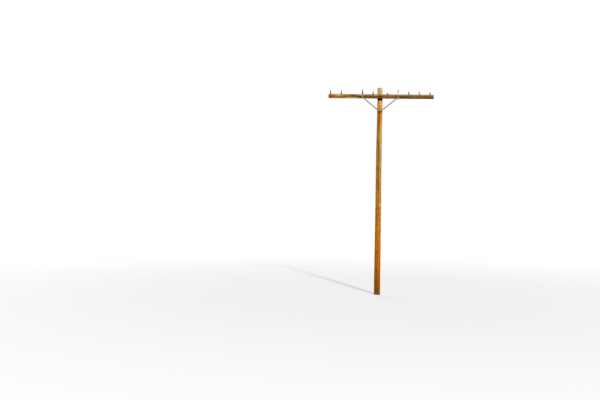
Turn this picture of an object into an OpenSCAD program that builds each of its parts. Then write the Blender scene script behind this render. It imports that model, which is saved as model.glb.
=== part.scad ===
// Old wooden line pole with one ten-pin crossarm, its two flat braces and its bare insulator pins.
// Millimetres. The origin is the centre of the pole's foot at ground level, +Z up.
// The crossarm lies along X on the pole's -Y side.

/* [Pole] */
// Height of the pole above the ground line, to the ridge of its roofed top
pole_h = 5963; // [4500:1:8000]
// Diameter of the pole at its top
pole_top_d = 152; // [140:1:200]
// Diameter of the pole at the ground line
pole_ground_d = 185; // [170:1:260]
// Slope of the two cuts that roof the top, in degrees
roof_slope = 8; // [4:1:30]
// Depth of the flat notch, the gain, that the crossarm is let into
gain_depth = 12.7; // [8:0.1:16]
// Depth of the flat shaved on the front for the braces' lower ends
brace_seat_depth = 3; // [2:0.5:6]
// Depth of the flat on the back that the arm bolt's washer beds into
washer_seat_depth = 2; // [1:0.5:5]

/* [Crossarm] */
// Length of the crossarm
arm_l = 3048; // [2950:1:3300]
// Thickness of the crossarm, front to back
arm_t = 89; // [76:0.5:95]
// Height of the crossarm
arm_h = 114; // [98:1:120]
// Distance from the pole's top down to the middle of the crossarm
arm_drop = 263; // [150:1:400]
// Bevel along the crossarm's two upper edges
arm_bevel = 9.5; // [3:0.5:12]
// Distance from each end of a whole crossarm to its outermost pin
pin_end = 101.6; // [80:0.1:140]
// Distance between the two pins beside the pole
pin_gap = 406.4; // [360:0.1:440]

/* [Braces] */
// Distance from each fourth pin, counted from the end, out to the brace's upper bolt
brace_past_pin = 40; // [30:1:100]
// Distance from the middle of the crossarm down to the screw at the braces' lower ends
brace_drop = 438; // [380:1:520]
// Width of the flat brace
brace_w = 31.8; // [28:0.1:38]
// Thickness of the flat brace
brace_t = 6.4; // [4:0.1:8]
// Distance from each hole's middle to the end of the brace
brace_end = 22; // [19:0.5:30]

/* [Bolts] */
// Diameter of the bolt that holds the crossarm to the pole
arm_bolt_d = 15.9; // [12:0.1:18]
// Side of the square washers on the arm bolt
square_washer_w = 57; // [45:1:60]
// Thickness of the square washers
square_washer_t = 4.8; // [3:0.1:6]
// Diameter of the two bolts that hold the braces to the crossarm
brace_bolt_d = 9.5; // [8:0.1:11]
// Diameter of the screw at the braces' lower ends
lag_d = 12.7; // [9:0.1:14]
// Length of that screw under its head
lag_l = 102; // [80:1:120]
// Length of bare thread past each nut
thread_end = 10; // [4:0.5:25]
// Thickness of the small round washers
round_washer_t = 2.6; // [1.5:0.1:4]

/* [Insulator pins] */
// Diameter of a wood pin's shank and of the round holes in the crossarm
pin_hole_d = 31.75; // [28:0.05:34]
// Length of a wood pin's shank below its shoulder
pin_shank_l = 96; // [70:1:97]
// Diameter of a wood pin's shoulder
pin_shoulder_d = 47.6; // [42:0.1:52]
// Height of a wood pin's straight shoulder
pin_shoulder_h = 10; // [5:1:16]
// Diameter of the straight upper part of a wood pin, which an insulator screws on to
pin_top_d = 25.4; // [20:0.1:28]
// Height of a whole wood pin above the crossarm
pin_h = 116; // [100:1:130]
// Length of that straight part
pin_thread_l = 56; // [40:1:66]
// How far the fourth pin has worked up out of its hole
pin_4_rise = 30; // [5:1:50]
// Height left of the broken fifth pin
pin_5_h = 88; // [70:1:95]
// Height left of the broken sixth pin
pin_6_h = 57; // [40:1:65]
// Height left of the broken eighth pin
pin_8_h = 92; // [70:1:98]
// Height left of the broken ninth pin
pin_9_h = 88; // [70:1:98]
// Height left of the broken tenth pin
pin_10_h = 74; // [40:1:98]
// Height of the steel pin above the crossarm
steel_pin_h = 138; // [120:1:160]
// Diameter of the steel pin's shank and of the lower end of its tapered body
steel_pin_d = 15.9; // [12:0.1:18]
// Diameter of the flange that the steel pin stands on
steel_flange_d = 50; // [40:1:58]

/* [Weathering] */
// Length that the decayed left end of the crossarm has lost
arm_left_loss = 38; // [0:1:60]
// Width of the widest drying check in the pole
pole_check_w = 12; // [4:0.5:20]
// Depth of the deepest drying check in the pole
pole_check_depth = 40; // [10:1:55]
// Width of the drying checks in the crossarm
arm_check_w = 4; // [2:0.5:8]
// Depth of the drying checks in the crossarm
arm_check_depth = 18; // [8:1:22]

/* [Hidden] */
// Curve quality of round shapes
$fn = 64;
// Length of a cut's overrun past the face it starts from
overrun = 10;
// Gap on each side of a bolt in its hole through wood
bolt_gap = 0.8;
// Gap on each side of a bolt in its hole through a brace or washer
plate_gap = 0.7;
// Gap between a nut's bore and its bolt
thread_gap = 0.1;
// Gap between a driven screw, pin or neck and the wood round it
driven_gap = 0.1;
// Gap above and below the crossarm in its notch
notch_gap = 0.8;

// Five pins share each half of the crossarm evenly
pins_a_side = 5;
pin_pitch = (arm_l / 2 - pin_end - pin_gap / 2) / (pins_a_side - 1);
brace_spread = pin_x(7) + brace_past_pin;

arm_z = pole_h - arm_drop;
arm_top = arm_z + arm_h / 2;
arm_bottom = arm_z - arm_h / 2;
arm_back = -(pole_r(arm_z) - gain_depth);
arm_front = arm_back - arm_t;
back_seat = pole_r(arm_z) - washer_seat_depth;
lag_z = arm_z - brace_drop;
brace_seat = -(pole_r(lag_z) - brace_seat_depth);
brace_seat_h = 3 * brace_w;

// Square nuts and heads in the proportions of rough square hardware
nut_w_ratio = 1.6;
nut_h_ratio = 0.87;
head_h_ratio = 0.67;
arm_nut_w = arm_bolt_d * nut_w_ratio;
lag_head_w = lag_d * 1.5;
brace_nut_w = brace_bolt_d * nut_w_ratio;
arm_nut_h = arm_bolt_d * nut_h_ratio;
brace_nut_h = brace_bolt_d * nut_h_ratio;
steel_nut_h = steel_pin_d * nut_h_ratio;
steel_nut_w = steel_pin_d * nut_w_ratio;
round_washer_ratio = 2.6;
carriage_head_d = brace_bolt_d * 2.2;
carriage_head_h = brace_bolt_d * 0.5;
carriage_neck_l = brace_bolt_d * 0.6;

// Each through bolt is as long as what it clamps, its nut and the bare thread
arm_bolt_l = back_seat - arm_front + 2 * square_washer_t + arm_nut_h + thread_end;
brace_bolt_l = arm_t + brace_t + round_washer_t + brace_nut_h + thread_end;

pin_taper_steps = 8;
pin_taper_h = pin_h - pin_shoulder_h - pin_thread_l;
pin_tip_chamfer = 2;
steel_flange_h = 5;
steel_collar_r = steel_pin_d;
steel_collar_h = 22;
steel_waist_r = steel_pin_d * 0.7;
steel_sleeve_r = 12.7;
steel_sleeve_l = 44;
steel_sleeve_rounding = 4;
steel_neck_h = steel_pin_h - steel_sleeve_l;
steel_shank_l = arm_h + round_washer_t + steel_nut_h + thread_end;

// Slants of the two faces that a snapped pin ends in, and the way each one's splinter looks
snap_steep = 52;
snap_shallow = 24;
pin_5_turn = 200;
pin_6_turn = 20;
pin_8_turn = 110;
pin_9_turn = 330;
pin_10_turn = 160;

// Drying checks in the pole, as shares of its height: turn from the front in degrees, lower end,
// upper end, and share of the full width and depth. An upper end above 1 leaves a check open at the top.
POLE_CHECKS = [
    [-14, 0.488, 0.864, 1],
    [72, 0.16, 0.52, 0.7],
    [158, 0.4, 0.9, 0.85],
    [-62, 0.03, 0.26, 0.8],
    [44, 0.88, 1.16, 0.6],
    [-104, 0.82, 1.21, 0.7],
    [-148, 0.92, 1.11, 0.5],
    [24, 0.26, 0.46, 0.45],
    [40, 0.5, 0.73, 0.45],
    [104, 0.55, 0.84, 0.5],
    [128, 0.04, 0.32, 0.5],
    [-8, 0.02, 0.15, 0.4],
    [-44, 0.65, 0.87, 0.45],
    [-88, 0.38, 0.66, 0.5],
    [-120, 0.17, 0.49, 0.5],
    [-158, 0.1, 0.37, 0.45]
];
// Lean of the grain, and of the checks along it, from upright
grain_lean = 0.17;
// Shares of a check's length up to its widest place and up to where it narrows quickly
widest_share = 0.35;
narrowing_share = 0.75;

// Radius of the tapered pole at a height
function pole_r(z) = (pole_ground_d + (pole_top_d - pole_ground_d) * z / pole_h) / 2;

// Pins are numbered 1 to 10 from the left, five on each side of the pole
function pin_x(n) =
    let (k = n <= pins_a_side ? n - pins_a_side - 1 : n - pins_a_side)
    sign(k) * (pin_gap / 2 + (abs(k) - 1) * pin_pitch);

// Places a child that is modelled along +Z so that it points from the back to the front, along -Y
module facing_front(x, y, z) translate([x, y, z]) rotate([90, 0, 0]) children();

// A straight round hole along the pole's front-to-back line, from one depth to another
module hole_through(x, y_from, y_to, z, d) facing_front(x, y_to, z) cylinder(h = y_to - y_from, d = d);

// Square bar end with the corners of its outer face turned off at 30 degrees
module turned_square(w, h) {
    intersection() {
        translate([-w / 2, -w / 2, 0]) cube([w, w, h]);
        cylinder(h = h, r1 = w / 2 + h / tan(30), r2 = w / 2);
    }
}

module square_nut(w, h, bolt_d) {
    difference() {
        turned_square(w, h);
        translate([0, 0, -overrun]) cylinder(h = h + 2 * overrun, d = bolt_d + 2 * thread_gap);
    }
}

// A bolt with a square head below Z = 0 and its shank above
module square_bolt(d, l, head_w) {
    chamfer = d / 10;
    rotate([180, 0, 0]) turned_square(head_w, d * head_h_ratio);
    cylinder(h = l - chamfer, d = d);
    translate([0, 0, l - chamfer]) cylinder(h = chamfer, d1 = d, d2 = d - 2 * chamfer);
}

module square_washer(bolt_d) {
    difference() {
        translate([-square_washer_w / 2, -square_washer_w / 2, 0])
            cube([square_washer_w, square_washer_w, square_washer_t]);
        translate([0, 0, -overrun])
            cylinder(h = square_washer_t + 2 * overrun, d = bolt_d + 2 * plate_gap);
    }
}

module round_washer(bolt_d) {
    difference() {
        cylinder(h = round_washer_t, d = bolt_d * round_washer_ratio);
        translate([0, 0, -overrun])
            cylinder(h = round_washer_t + 2 * overrun, d = bolt_d + 2 * plate_gap);
    }
}

// The tapered shaft, with its roofed top, the gain, the flats and the holes
module pole() {
    color("#9a6a3c") difference() {
        intersection() {
            cylinder(h = pole_h, d1 = pole_ground_d, d2 = pole_top_d);
            roof_profile(pole_ground_d);
        }
        translate([-pole_ground_d / 2, arm_back - pole_ground_d, arm_bottom - notch_gap])
            cube([pole_ground_d, pole_ground_d, arm_h + 2 * notch_gap]);
        translate([-square_washer_w / 2 - notch_gap, back_seat, arm_z - square_washer_w / 2 - notch_gap])
            cube([square_washer_w + 2 * notch_gap, pole_ground_d, square_washer_w + 2 * notch_gap]);
        translate([-pole_ground_d / 2, brace_seat - pole_ground_d, lag_z - brace_seat_h / 2])
            cube([pole_ground_d, pole_ground_d, brace_seat_h]);
        hole_through(0, -pole_ground_d, pole_ground_d, arm_z, arm_bolt_d + 2 * bolt_gap);
        lag_hole();
        for (check = POLE_CHECKS) rotate([0, 0, check[0]])
            pole_check(pole_h * check[1], pole_h * check[2], check[3]);
    }
}

// Drying check in the front of the pole, of a share of the full size: V-shaped across, leaned with the
// grain, and narrower and shallower towards both ends
module pole_check(low, high, share) {
    w = pole_check_w * share;
    depth = pole_check_depth * share;
    middle = (low + high) / 2;
    translate([0, 0, middle]) rotate([0, grain_lean, 0]) translate([0, 0, -middle]) intersection() {
        rotate([90, 0, 0]) linear_extrude(pole_ground_d) check_outline(low, high, w);
        rotate([90, 0, 90]) translate([0, 0, -w / 2]) linear_extrude(w) check_floor(low, high, depth);
        linear_extrude(high) check_section(w, depth, pole_r(middle));
    }
}

// Outline of a slit that opens slowly from one end and closes quickly at the other
module check_outline(from, to, w) {
    widest = from + (to - from) * widest_share;
    narrowing = from + (to - from) * narrowing_share;
    polygon([
        [0, from], [w / 2, widest], [w / 3, narrowing], [0, to], [-w / 3, narrowing], [-w / 2, widest]
    ]);
}

// Side view of a pole check: its floor sinks from the surface to the full depth and rises again
module check_floor(low, high, depth) {
    widest = low + (high - low) * widest_share;
    narrowing = low + (high - low) * narrowing_share;
    polygon([
        [-pole_r(low), low],
        [depth - pole_r(widest), widest],
        [depth * 2 / 3 - pole_r(narrowing), narrowing],
        [-pole_r(high), high],
        [-pole_ground_d, high],
        [-pole_ground_d, low]
    ]);
}

// Section of a pole check: a wedge that is w wide at the radius r and ends in a point below it
module check_section(w, depth, r) {
    outer_y = depth - r - pole_ground_d;
    outer_x = pole_ground_d * w / (2 * depth);
    polygon([[0, depth - r], [-outer_x, outer_y], [outer_x, outer_y]]);
}

// Gable that trims the top to two shallow slopes, with the ridge from left to right
module roof_profile(w) {
    eaves = pole_h - w * tan(roof_slope);
    rotate([90, 0, 90]) translate([0, 0, -w]) linear_extrude(2 * w)
        polygon([[-w, 0], [w, 0], [w, eaves], [0, pole_h], [-w, eaves]]);
}

module lag_hole() {
    depth = lag_l - 2 * brace_t - round_washer_t + driven_gap;
    hole_through(0, brace_seat - overrun, brace_seat + depth, lag_z, lag_d + 2 * driven_gap);
}

// The sawn arm, bevelled along the top, bored for ten pins and three bolts
module crossarm() {
    color("#8a6238") difference() {
        rotate([90, 0, 90]) translate([0, 0, arm_left_loss - arm_l / 2])
            linear_extrude(arm_l - arm_left_loss) arm_section();
        for (n = [1, 2, 3, 4, 5, 6, 8, 9, 10]) pin_hole(n, pin_hole_d);
        pin_hole(7, steel_pin_d + 2 * bolt_gap);
        hole_through(0, arm_front - overrun, arm_back + overrun, arm_z, arm_bolt_d + 2 * bolt_gap);
        for (side = [-1, 1]) carriage_hole(side * brace_spread);
        arm_check(0.12) end_split_outline(arm_l / 2 + overrun, arm_l / 2 - 3 * pin_end);
        arm_check(-0.16) end_split_outline(-arm_l / 2, 2.6 * pin_end - arm_l / 2);
        arm_check(-0.2) check_outline(pin_x(7) + pin_pitch / 2, pin_x(9), arm_check_w);
        arm_check(0.2) check_outline(pin_x(2) + pin_pitch / 2, pin_x(4) - pin_pitch / 4, arm_check_w);
    }
}

// Slit along the grain in the arm's front face, at a share of its height from the middle.
// Its outline runs along +Y and is turned here to run along the arm.
module arm_check(share) {
    translate([0, arm_front + arm_check_depth, arm_z + share * arm_h]) rotate([90, 0, 0])
        linear_extrude(arm_t) rotate([0, 0, -90]) children();
}

// Outline of a split that is widest at the arm's end and closes inwards
module end_split_outline(end, inner) {
    polygon([[-arm_check_w / 2, end], [arm_check_w / 2, end], [0, inner]]);
}

module arm_section() {
    polygon([
        [arm_front, arm_bottom],
        [arm_back, arm_bottom],
        [arm_back, arm_top - arm_bevel],
        [arm_back - arm_bevel, arm_top],
        [arm_front + arm_bevel, arm_top],
        [arm_front, arm_top - arm_bevel]
    ]);
}

module pin_hole(n, d) {
    translate([pin_x(n), arm_front + arm_t / 2, arm_bottom - overrun])
        cylinder(h = arm_h + 2 * overrun, d = d);
}

// Round hole for a brace bolt, with a square socket at the back for the bolt's neck
module carriage_hole(x) {
    socket_w = brace_bolt_d + 2 * driven_gap;
    socket_l = carriage_neck_l + driven_gap;
    hole_through(x, arm_front - overrun, arm_back + overrun, arm_z, brace_bolt_d + 2 * bolt_gap);
    translate([x - socket_w / 2, arm_back - socket_l, arm_z - socket_w / 2])
        cube([socket_w, socket_l + overrun, socket_w]);
}

// Side profile of a brace: a flat end on the pole, a slanting middle and a flat end on the arm.
// The bar runs along +X from its lower hole and its outer face looks to -Y.
module brace_profile(length, seat, foot_l, head_l) {
    polygon([
        [-brace_end, seat],
        [foot_l, seat],
        [length - head_l, arm_front],
        [length + brace_end, arm_front],
        [length + brace_end, arm_front - brace_t],
        [length - head_l, arm_front - brace_t],
        [foot_l, seat - brace_t],
        [-brace_end, seat - brace_t]
    ]);
}

// Face outline of a brace, a bar with round ends
module brace_outline(length) {
    arc_x = brace_end - brace_w / 2;
    for (x = [-arc_x, length + arc_x]) translate([x, 0]) circle(d = brace_w);
    translate([-arc_x, -brace_w / 2]) square([length + 2 * arc_x, brace_w]);
}

// One bent flat brace, modelled for the right side and lying on a given face at its lower end
module brace(seat) {
    length = norm([brace_spread, brace_drop]);
    slope = atan2(brace_drop, brace_spread);
    foot_l = brace_w;
    head_l = (arm_h / 2 + brace_w * cos(slope) / 2) / sin(slope) + brace_t;
    reach = arm_t + pole_ground_d;
    translate([0, 0, lag_z]) rotate([0, -slope, 0]) difference() {
        intersection() {
            translate([0, 0, -brace_w / 2]) linear_extrude(brace_w)
                brace_profile(length, seat, foot_l, head_l);
            rotate([90, 0, 0]) linear_extrude(reach) brace_outline(length);
        }
        hole_through(0, -reach, 0, 0, lag_d + 2 * plate_gap);
        hole_through(length, -reach, 0, 0, brace_bolt_d + 2 * plate_gap);
    }
}

module brace_left() color("#8f9aa3") mirror([1, 0, 0]) brace(brace_seat);

module brace_right() color("#99a4ad") brace(brace_seat - brace_t);

module arm_bolt() {
    color("#4d3a2e") facing_front(0, back_seat + square_washer_t, arm_z)
        square_bolt(arm_bolt_d, arm_bolt_l, arm_nut_w);
}

module arm_washer_back() {
    color("#55402f") facing_front(0, back_seat + square_washer_t, arm_z) square_washer(arm_bolt_d);
}

module arm_washer_front() {
    color("#55402f") facing_front(0, arm_front, arm_z) square_washer(arm_bolt_d);
}

module arm_bolt_nut() {
    color("#4d3a2e") facing_front(0, arm_front - square_washer_t, arm_z)
        square_nut(arm_nut_w, arm_nut_h, arm_bolt_d);
}

// Domed bolt head at the arm's back, with a square neck sunk into the wood
module carriage_bolt(side) {
    neck_w = brace_bolt_d;
    facing_front(side * brace_spread, arm_back, arm_z) {
        cylinder(h = brace_bolt_l, d = brace_bolt_d);
        translate([-neck_w / 2, -neck_w / 2, 0]) cube([neck_w, neck_w, carriage_neck_l]);
        rotate([180, 0, 0]) dome(carriage_head_d, carriage_head_h);
    }
}

// Cap of a ball with a given base diameter and height, standing on Z = 0
module dome(d, h) {
    ball_r = (pow(d / 2, 2) + pow(h, 2)) / (2 * h);
    intersection() {
        translate([0, 0, h - ball_r]) sphere(r = ball_r);
        cylinder(h = h, d = d);
    }
}

module brace_bolt_left() color("#5a4a40") carriage_bolt(-1);

module brace_bolt_right() color("#5a4a40") carriage_bolt(1);

module brace_washer(side) {
    color("#7d7f80") facing_front(side * brace_spread, arm_front - brace_t, arm_z)
        round_washer(brace_bolt_d);
}

module brace_washer_left() brace_washer(-1);

module brace_washer_right() brace_washer(1);

module brace_nut(side) {
    color("#5a4a40") facing_front(side * brace_spread, arm_front - brace_t - round_washer_t, arm_z)
        square_nut(brace_nut_w, brace_nut_h, brace_bolt_d);
}

module brace_nut_left() brace_nut(-1);

module brace_nut_right() brace_nut(1);

module lag_washer() {
    color("#7d7f80") facing_front(0, brace_seat - 2 * brace_t, lag_z) round_washer(lag_d);
}

// Square-headed screw that pins both braces to the pole, with a gimlet point
module brace_lag_screw() {
    point_l = lag_d;
    head_y = brace_seat - 2 * brace_t - round_washer_t;
    color("#5a4a40") translate([0, head_y, lag_z]) rotate([-90, 0, 0]) {
        rotate([180, 0, 0]) turned_square(lag_head_w, lag_d * head_h_ratio);
        cylinder(h = lag_l - point_l, d = lag_d);
        translate([0, 0, lag_l - point_l]) cylinder(h = point_l, d1 = lag_d, d2 = lag_d / 6);
    }
}

// Half outline of a turned wood pin, from the foot of its shank up to its tip
function pin_outline() = let (
    shank_r = pin_hole_d / 2 - driven_gap,
    shoulder_r = pin_shoulder_d / 2,
    tip_r = pin_top_d / 2
) [
    [0, -pin_shank_l],
    [shank_r - pin_tip_chamfer, -pin_shank_l],
    [shank_r, pin_tip_chamfer - pin_shank_l],
    [shank_r, 0],
    [shoulder_r, 0],
    for (i = [0 : pin_taper_steps]) let (t = i / pin_taper_steps)
        [tip_r + (shoulder_r - tip_r) * pow(1 - t, 2), pin_shoulder_h + t * pin_taper_h],
    [tip_r, pin_h - pin_tip_chamfer],
    [tip_r - pin_tip_chamfer, pin_h],
    [0, pin_h]
];

module wood_pin() rotate_extrude() polygon(pin_outline());

// Places a pin in its hole, with its shoulder on the arm or raised above it
module in_hole(n, rise = 0) translate([pin_x(n), arm_front + arm_t / 2, arm_top + rise]) children();

// A wood pin snapped off at a height: the break leaves one long and one short slant
module broken_pin(n, height, turn) {
    color("#7c6046") in_hole(n) difference() {
        wood_pin();
        rotate([0, 0, turn]) translate([pin_top_d / 6, 0, height]) {
            for (slant = [snap_steep, -snap_shallow]) rotate([0, slant, 0])
                translate([-pin_h, -pin_h / 2, 0]) cube([2 * pin_h, pin_h, pin_h]);
        }
    }
}

module pin_1() color("#a98c68") in_hole(1) wood_pin();

module pin_2() color("#8c6a48") in_hole(2) wood_pin();

module pin_4() color("#6b5140") in_hole(4, pin_4_rise) wood_pin();

module pin_5() broken_pin(5, pin_5_h, pin_5_turn);

module pin_6() broken_pin(6, pin_6_h, pin_6_turn);

module pin_8() broken_pin(8, pin_8_h, pin_8_turn);

module pin_9() broken_pin(9, pin_9_h, pin_9_turn);

module pin_10() broken_pin(10, pin_10_h, pin_10_turn);

// The one steel pin: a forged body on a flange, with a sleeve of soft metal at its top
module steel_pin_7() {
    shank_r = steel_pin_d / 2;
    color("#b4c0c8") in_hole(7) rotate_extrude() polygon([
        [0, -steel_shank_l],
        [shank_r, -steel_shank_l],
        [shank_r, 0],
        [steel_flange_d / 2, 0],
        [steel_flange_d / 2, steel_flange_h],
        [steel_collar_r, steel_flange_h],
        [steel_collar_r, steel_flange_h + steel_collar_h / 2],
        [steel_waist_r, steel_flange_h + steel_collar_h],
        [shank_r, steel_neck_h],
        [steel_sleeve_r, steel_neck_h],
        [steel_sleeve_r, steel_pin_h - steel_sleeve_rounding],
        [steel_sleeve_r - steel_sleeve_rounding, steel_pin_h],
        [0, steel_pin_h]
    ]);
}

module below_arm(drop) translate([pin_x(7), arm_front + arm_t / 2, arm_bottom - drop])
    rotate([180, 0, 0]) children();

module steel_pin_washer() color("#8b949a") below_arm(0) round_washer(steel_pin_d);

module steel_pin_nut() {
    color("#7a6a5c") below_arm(round_washer_t) square_nut(steel_nut_w, steel_nut_h, steel_pin_d);
}

pole();
crossarm();
brace_left();
brace_right();
arm_bolt();
arm_bolt_nut();
arm_washer_front();
arm_washer_back();
brace_bolt_left();
brace_bolt_right();
brace_nut_left();
brace_nut_right();
brace_washer_left();
brace_washer_right();
brace_lag_screw();
lag_washer();
pin_1();
pin_2();
pin_4();
pin_5();
pin_6();
pin_8();
pin_9();
pin_10();
steel_pin_7();
steel_pin_nut();
steel_pin_washer();
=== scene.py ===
"""Old wooden line pole with its ten-pin crossarm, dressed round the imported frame.

Metres, +Z up. The pole's foot is at the origin and the crossarm lies along X on the -Y side.
A turn round the pole is in radians from its front, towards +X.
"""
import math

import bpy
import numpy as np
from mathutils import Matrix, Vector


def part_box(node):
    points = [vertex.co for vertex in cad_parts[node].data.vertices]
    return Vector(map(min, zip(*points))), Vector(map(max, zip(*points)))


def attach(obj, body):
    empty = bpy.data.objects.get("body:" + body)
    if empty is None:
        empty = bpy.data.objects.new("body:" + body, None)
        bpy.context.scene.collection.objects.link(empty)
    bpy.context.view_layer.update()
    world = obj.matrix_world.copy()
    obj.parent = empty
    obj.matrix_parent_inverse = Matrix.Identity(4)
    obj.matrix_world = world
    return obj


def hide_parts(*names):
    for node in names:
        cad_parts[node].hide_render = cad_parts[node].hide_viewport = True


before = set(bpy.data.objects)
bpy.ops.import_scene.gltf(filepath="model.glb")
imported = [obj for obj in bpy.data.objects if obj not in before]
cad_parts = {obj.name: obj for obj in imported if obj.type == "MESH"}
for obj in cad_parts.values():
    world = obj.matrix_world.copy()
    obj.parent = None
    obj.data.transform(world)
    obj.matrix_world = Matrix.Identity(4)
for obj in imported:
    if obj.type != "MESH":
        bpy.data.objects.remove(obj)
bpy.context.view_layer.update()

MM = 0.001
FULL_TURN = 2 * math.pi


# Places that the frame gives

def corners(node):
    """Lowest and highest corner of a frame node, as arrays in metres."""
    low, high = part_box(node)
    return np.array(low), np.array(high)


def middle(node):
    """Middle of a frame node's box."""
    low, high = corners(node)
    return (low + high) / 2


ARM_LOW, ARM_HIGH = corners("crossarm")
ARM_FRONT, ARM_BACK = ARM_LOW[1], ARM_HIGH[1]
ARM_MIDDLE_Y, ARM_Z = (ARM_LOW[1:] + ARM_HIGH[1:]) / 2
ARM_TOP, ARM_BOTTOM = ARM_HIGH[2], ARM_LOW[2]
POLE_GROUND_R, _, POLE_H = corners("pole")[1]
POLE_TOP_R = 76 * MM
BACK_SEAT = corners("arm_washer_back")[0][1]
LAG_Z = middle("lag_washer")[2]
BRACE_T = 6.4 * MM
BRACE_W = 31.8 * MM
BRACE_SEAT = corners("brace_left")[1][1]
BRACE_BOLT_X = middle("brace_nut_right")[0]
PIN_X = {n: middle(f"pin_{n}")[0] for n in (1, 2, 4, 5, 6, 8, 9, 10)}
STEEL_PIN_X = middle("steel_pin_7")[0]
EMPTY_HOLE_X = (PIN_X[2] + PIN_X[4]) / 2
NOTCH_GAP = 0.8 * MM
ARM_BEVEL = 9.5 * MM
ROOF_RISE = math.tan(math.radians(8))


# Numbers worked on whole arrays

def ease(low, high, values):
    """Smooth step from 0 at low to 1 at high: 3t^2 - 2t^3 of the clipped share t."""
    share = np.clip((values - low) / (high - low), 0, 1)
    return share * share * (3 - 2 * share)


def bell(centre, reach, values):
    """Bell curve, 1 at its centre and down to a third at its reach."""
    return np.exp(-((values - centre) / reach) ** 2)


def wrapped(turn):
    """A turn brought between minus half and plus half a turn."""
    return (turn + math.pi) % FULL_TURN - math.pi


def swell(turn, along, seed, ripples, pitch, waves=9):
    """Smooth random field between -1 and 1: the mean of cosine waves, each with a whole number of
    ripples round the turn, drawn from a range, and a pitch along the length not under the given one."""
    draw = np.random.default_rng(seed)
    field = 0
    for _ in range(waves):
        around = draw.integers(ripples[0], ripples[1] + 1)
        rate = draw.uniform(-1, 1) * FULL_TURN / pitch
        field = field + np.cos(around * turn + rate * along + draw.uniform(0, FULL_TURN))
    return np.clip(field / waves ** 0.5 / 1.3, -1, 1)


def mottled(*field):
    """A swell brought between 0 and 1."""
    return 0.5 + 0.5 * swell(*field)


def check_cut(off, along, low, high, width, depth):
    """Depth of a V-shaped drying check, off its line and along it. It opens from nothing at its low
    end to its full width at 0.4 of its length, and closes again, as the product of two powers of
    straight ramps."""
    widest = 0.4
    share = np.clip((along - low) / (high - low), 0, 1)
    gape = (np.clip(share / widest, 0, 1) * np.clip((1 - share) / (1 - widest), 0, 1)) ** 0.7
    half = width / 2 * gape + 0.4 * MM
    return depth * gape * np.clip(1 - np.abs(off) / half, 0, 1) ** 0.8


def parted(off, along, core):
    """How far a knot pushes the grain aside: off c^2 / (off^2 + (0.4 along)^2 + c^2) for a core c."""
    return off * core ** 2 / (off ** 2 + (0.4 * along) ** 2 + core ** 2)


def spaced(low, high, step, dense=(), exact=()):
    """Places along a length: a step apart, closer where dense gives (place, reach, finer step), and
    at the exact places, near which no other is kept."""
    sets = [np.arange(low, high, step)]
    sets += [np.arange(at - reach, at + reach, fine) for at, reach, fine in dense]
    plain = np.unique(np.round(np.concatenate(sets), 4))
    plain = plain[np.diff(plain, prepend=-9) > 1.4 * MM]
    exact = np.array([low, high, *exact])
    clear = np.abs(plain[:, None] - exact).min(axis=1) > 2.5 * MM
    kept = plain[clear & (plain > low) & (plain < high)]
    return np.sort(np.concatenate([kept, exact]))


def beside_rails(plain, rails, offsets):
    """Plain places that lie clear of every rail, with the rails' own places at the given offsets."""
    offsets = np.array(sorted({*offsets, *[-o for o in offsets]}))
    rails = np.array(rails)
    clear = np.abs(plain[:, None] - rails).min(axis=1) > offsets.max() * 1.3
    return np.sort(np.concatenate([plain[clear], (rails[:, None] + offsets).ravel()]))


def round_turns(columns):
    """Turns of the columns of a full round, in radians."""
    return np.arange(columns) / columns * FULL_TURN


def points_of(x, y, z):
    """Points from three coordinates, each a number or an array, spread over each other's shape."""
    return np.stack(np.broadcast_arrays(x, y, z), axis=-1)


# Meshes

def link(name, data):
    """A new object of the given data, in the scene."""
    made = bpy.data.objects.new(name, data)
    bpy.context.collection.objects.link(made)
    return made


def strips(low, high):
    """Faces between two sets of rows of point numbers, whose columns run round and meet."""
    quads = [low, np.roll(low, -1, axis=1), np.roll(high, -1, axis=1), high]
    return np.stack(quads, axis=-1).reshape(-1, 4).tolist()


def solid(grid, joined=False):
    """Points and faces of a closed skin over a rows x columns x 3 grid whose columns run round and
    meet. Each end closes on a tip in the middle of its row, or the last row joins the first."""
    rows, columns = grid.shape[:2]
    ids = np.arange(rows * columns).reshape(rows, columns)
    if joined:
        return grid.reshape(-1, 3), strips(ids, np.roll(ids, -1, axis=0))
    faces = strips(ids[:-1], ids[1:])
    tips = np.full(columns, rows * columns)
    faces += np.stack([np.roll(ids[0], -1), ids[0], tips], axis=-1).tolist()
    faces += np.stack([ids[-1], np.roll(ids[-1], -1), tips + 1], axis=-1).tolist()
    return with_tips(grid), faces


def with_tips(marks):
    """A grid's values in a skin's order: each of its two tips takes the mean of the row it closes."""
    flat = marks.reshape(-1, *marks.shape[2:])
    return np.concatenate([flat, marks[:1].mean(axis=1), marks[-1:].mean(axis=1)])


def tipped(**marks):
    """Named marks given over a grid, in its skin's order."""
    return {key: with_tips(values) for key, values in marks.items()}


def outward(points, faces):
    """The faces, turned over where the skin's signed volume, the sum of a . (b x c), is negative."""
    corner = np.array([face[:3] for face in faces])
    last = np.array([[face[0], face[-2], face[-1]] for face in faces])
    tris = np.concatenate([corner, last[[len(face) > 3 for face in faces]]])
    a, b, c = (points[tris[:, k]] for k in range(3))
    volume = (a * np.cross(b, c)).sum()
    return faces if volume > 0 else [face[::-1] for face in faces]


def mesh_of(name, skins):
    """One mesh from several skins, each a pair of points and faces, all facing outwards."""
    points, faces, count = [], [], 0
    for skin_points, skin_faces in skins:
        points.append(skin_points)
        faces += [[i + count for i in face] for face in outward(skin_points, skin_faces)]
        count += len(skin_points)
    mesh = bpy.data.meshes.new(name)
    mesh.from_pydata(np.concatenate(points), [], faces)
    return mesh


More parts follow.
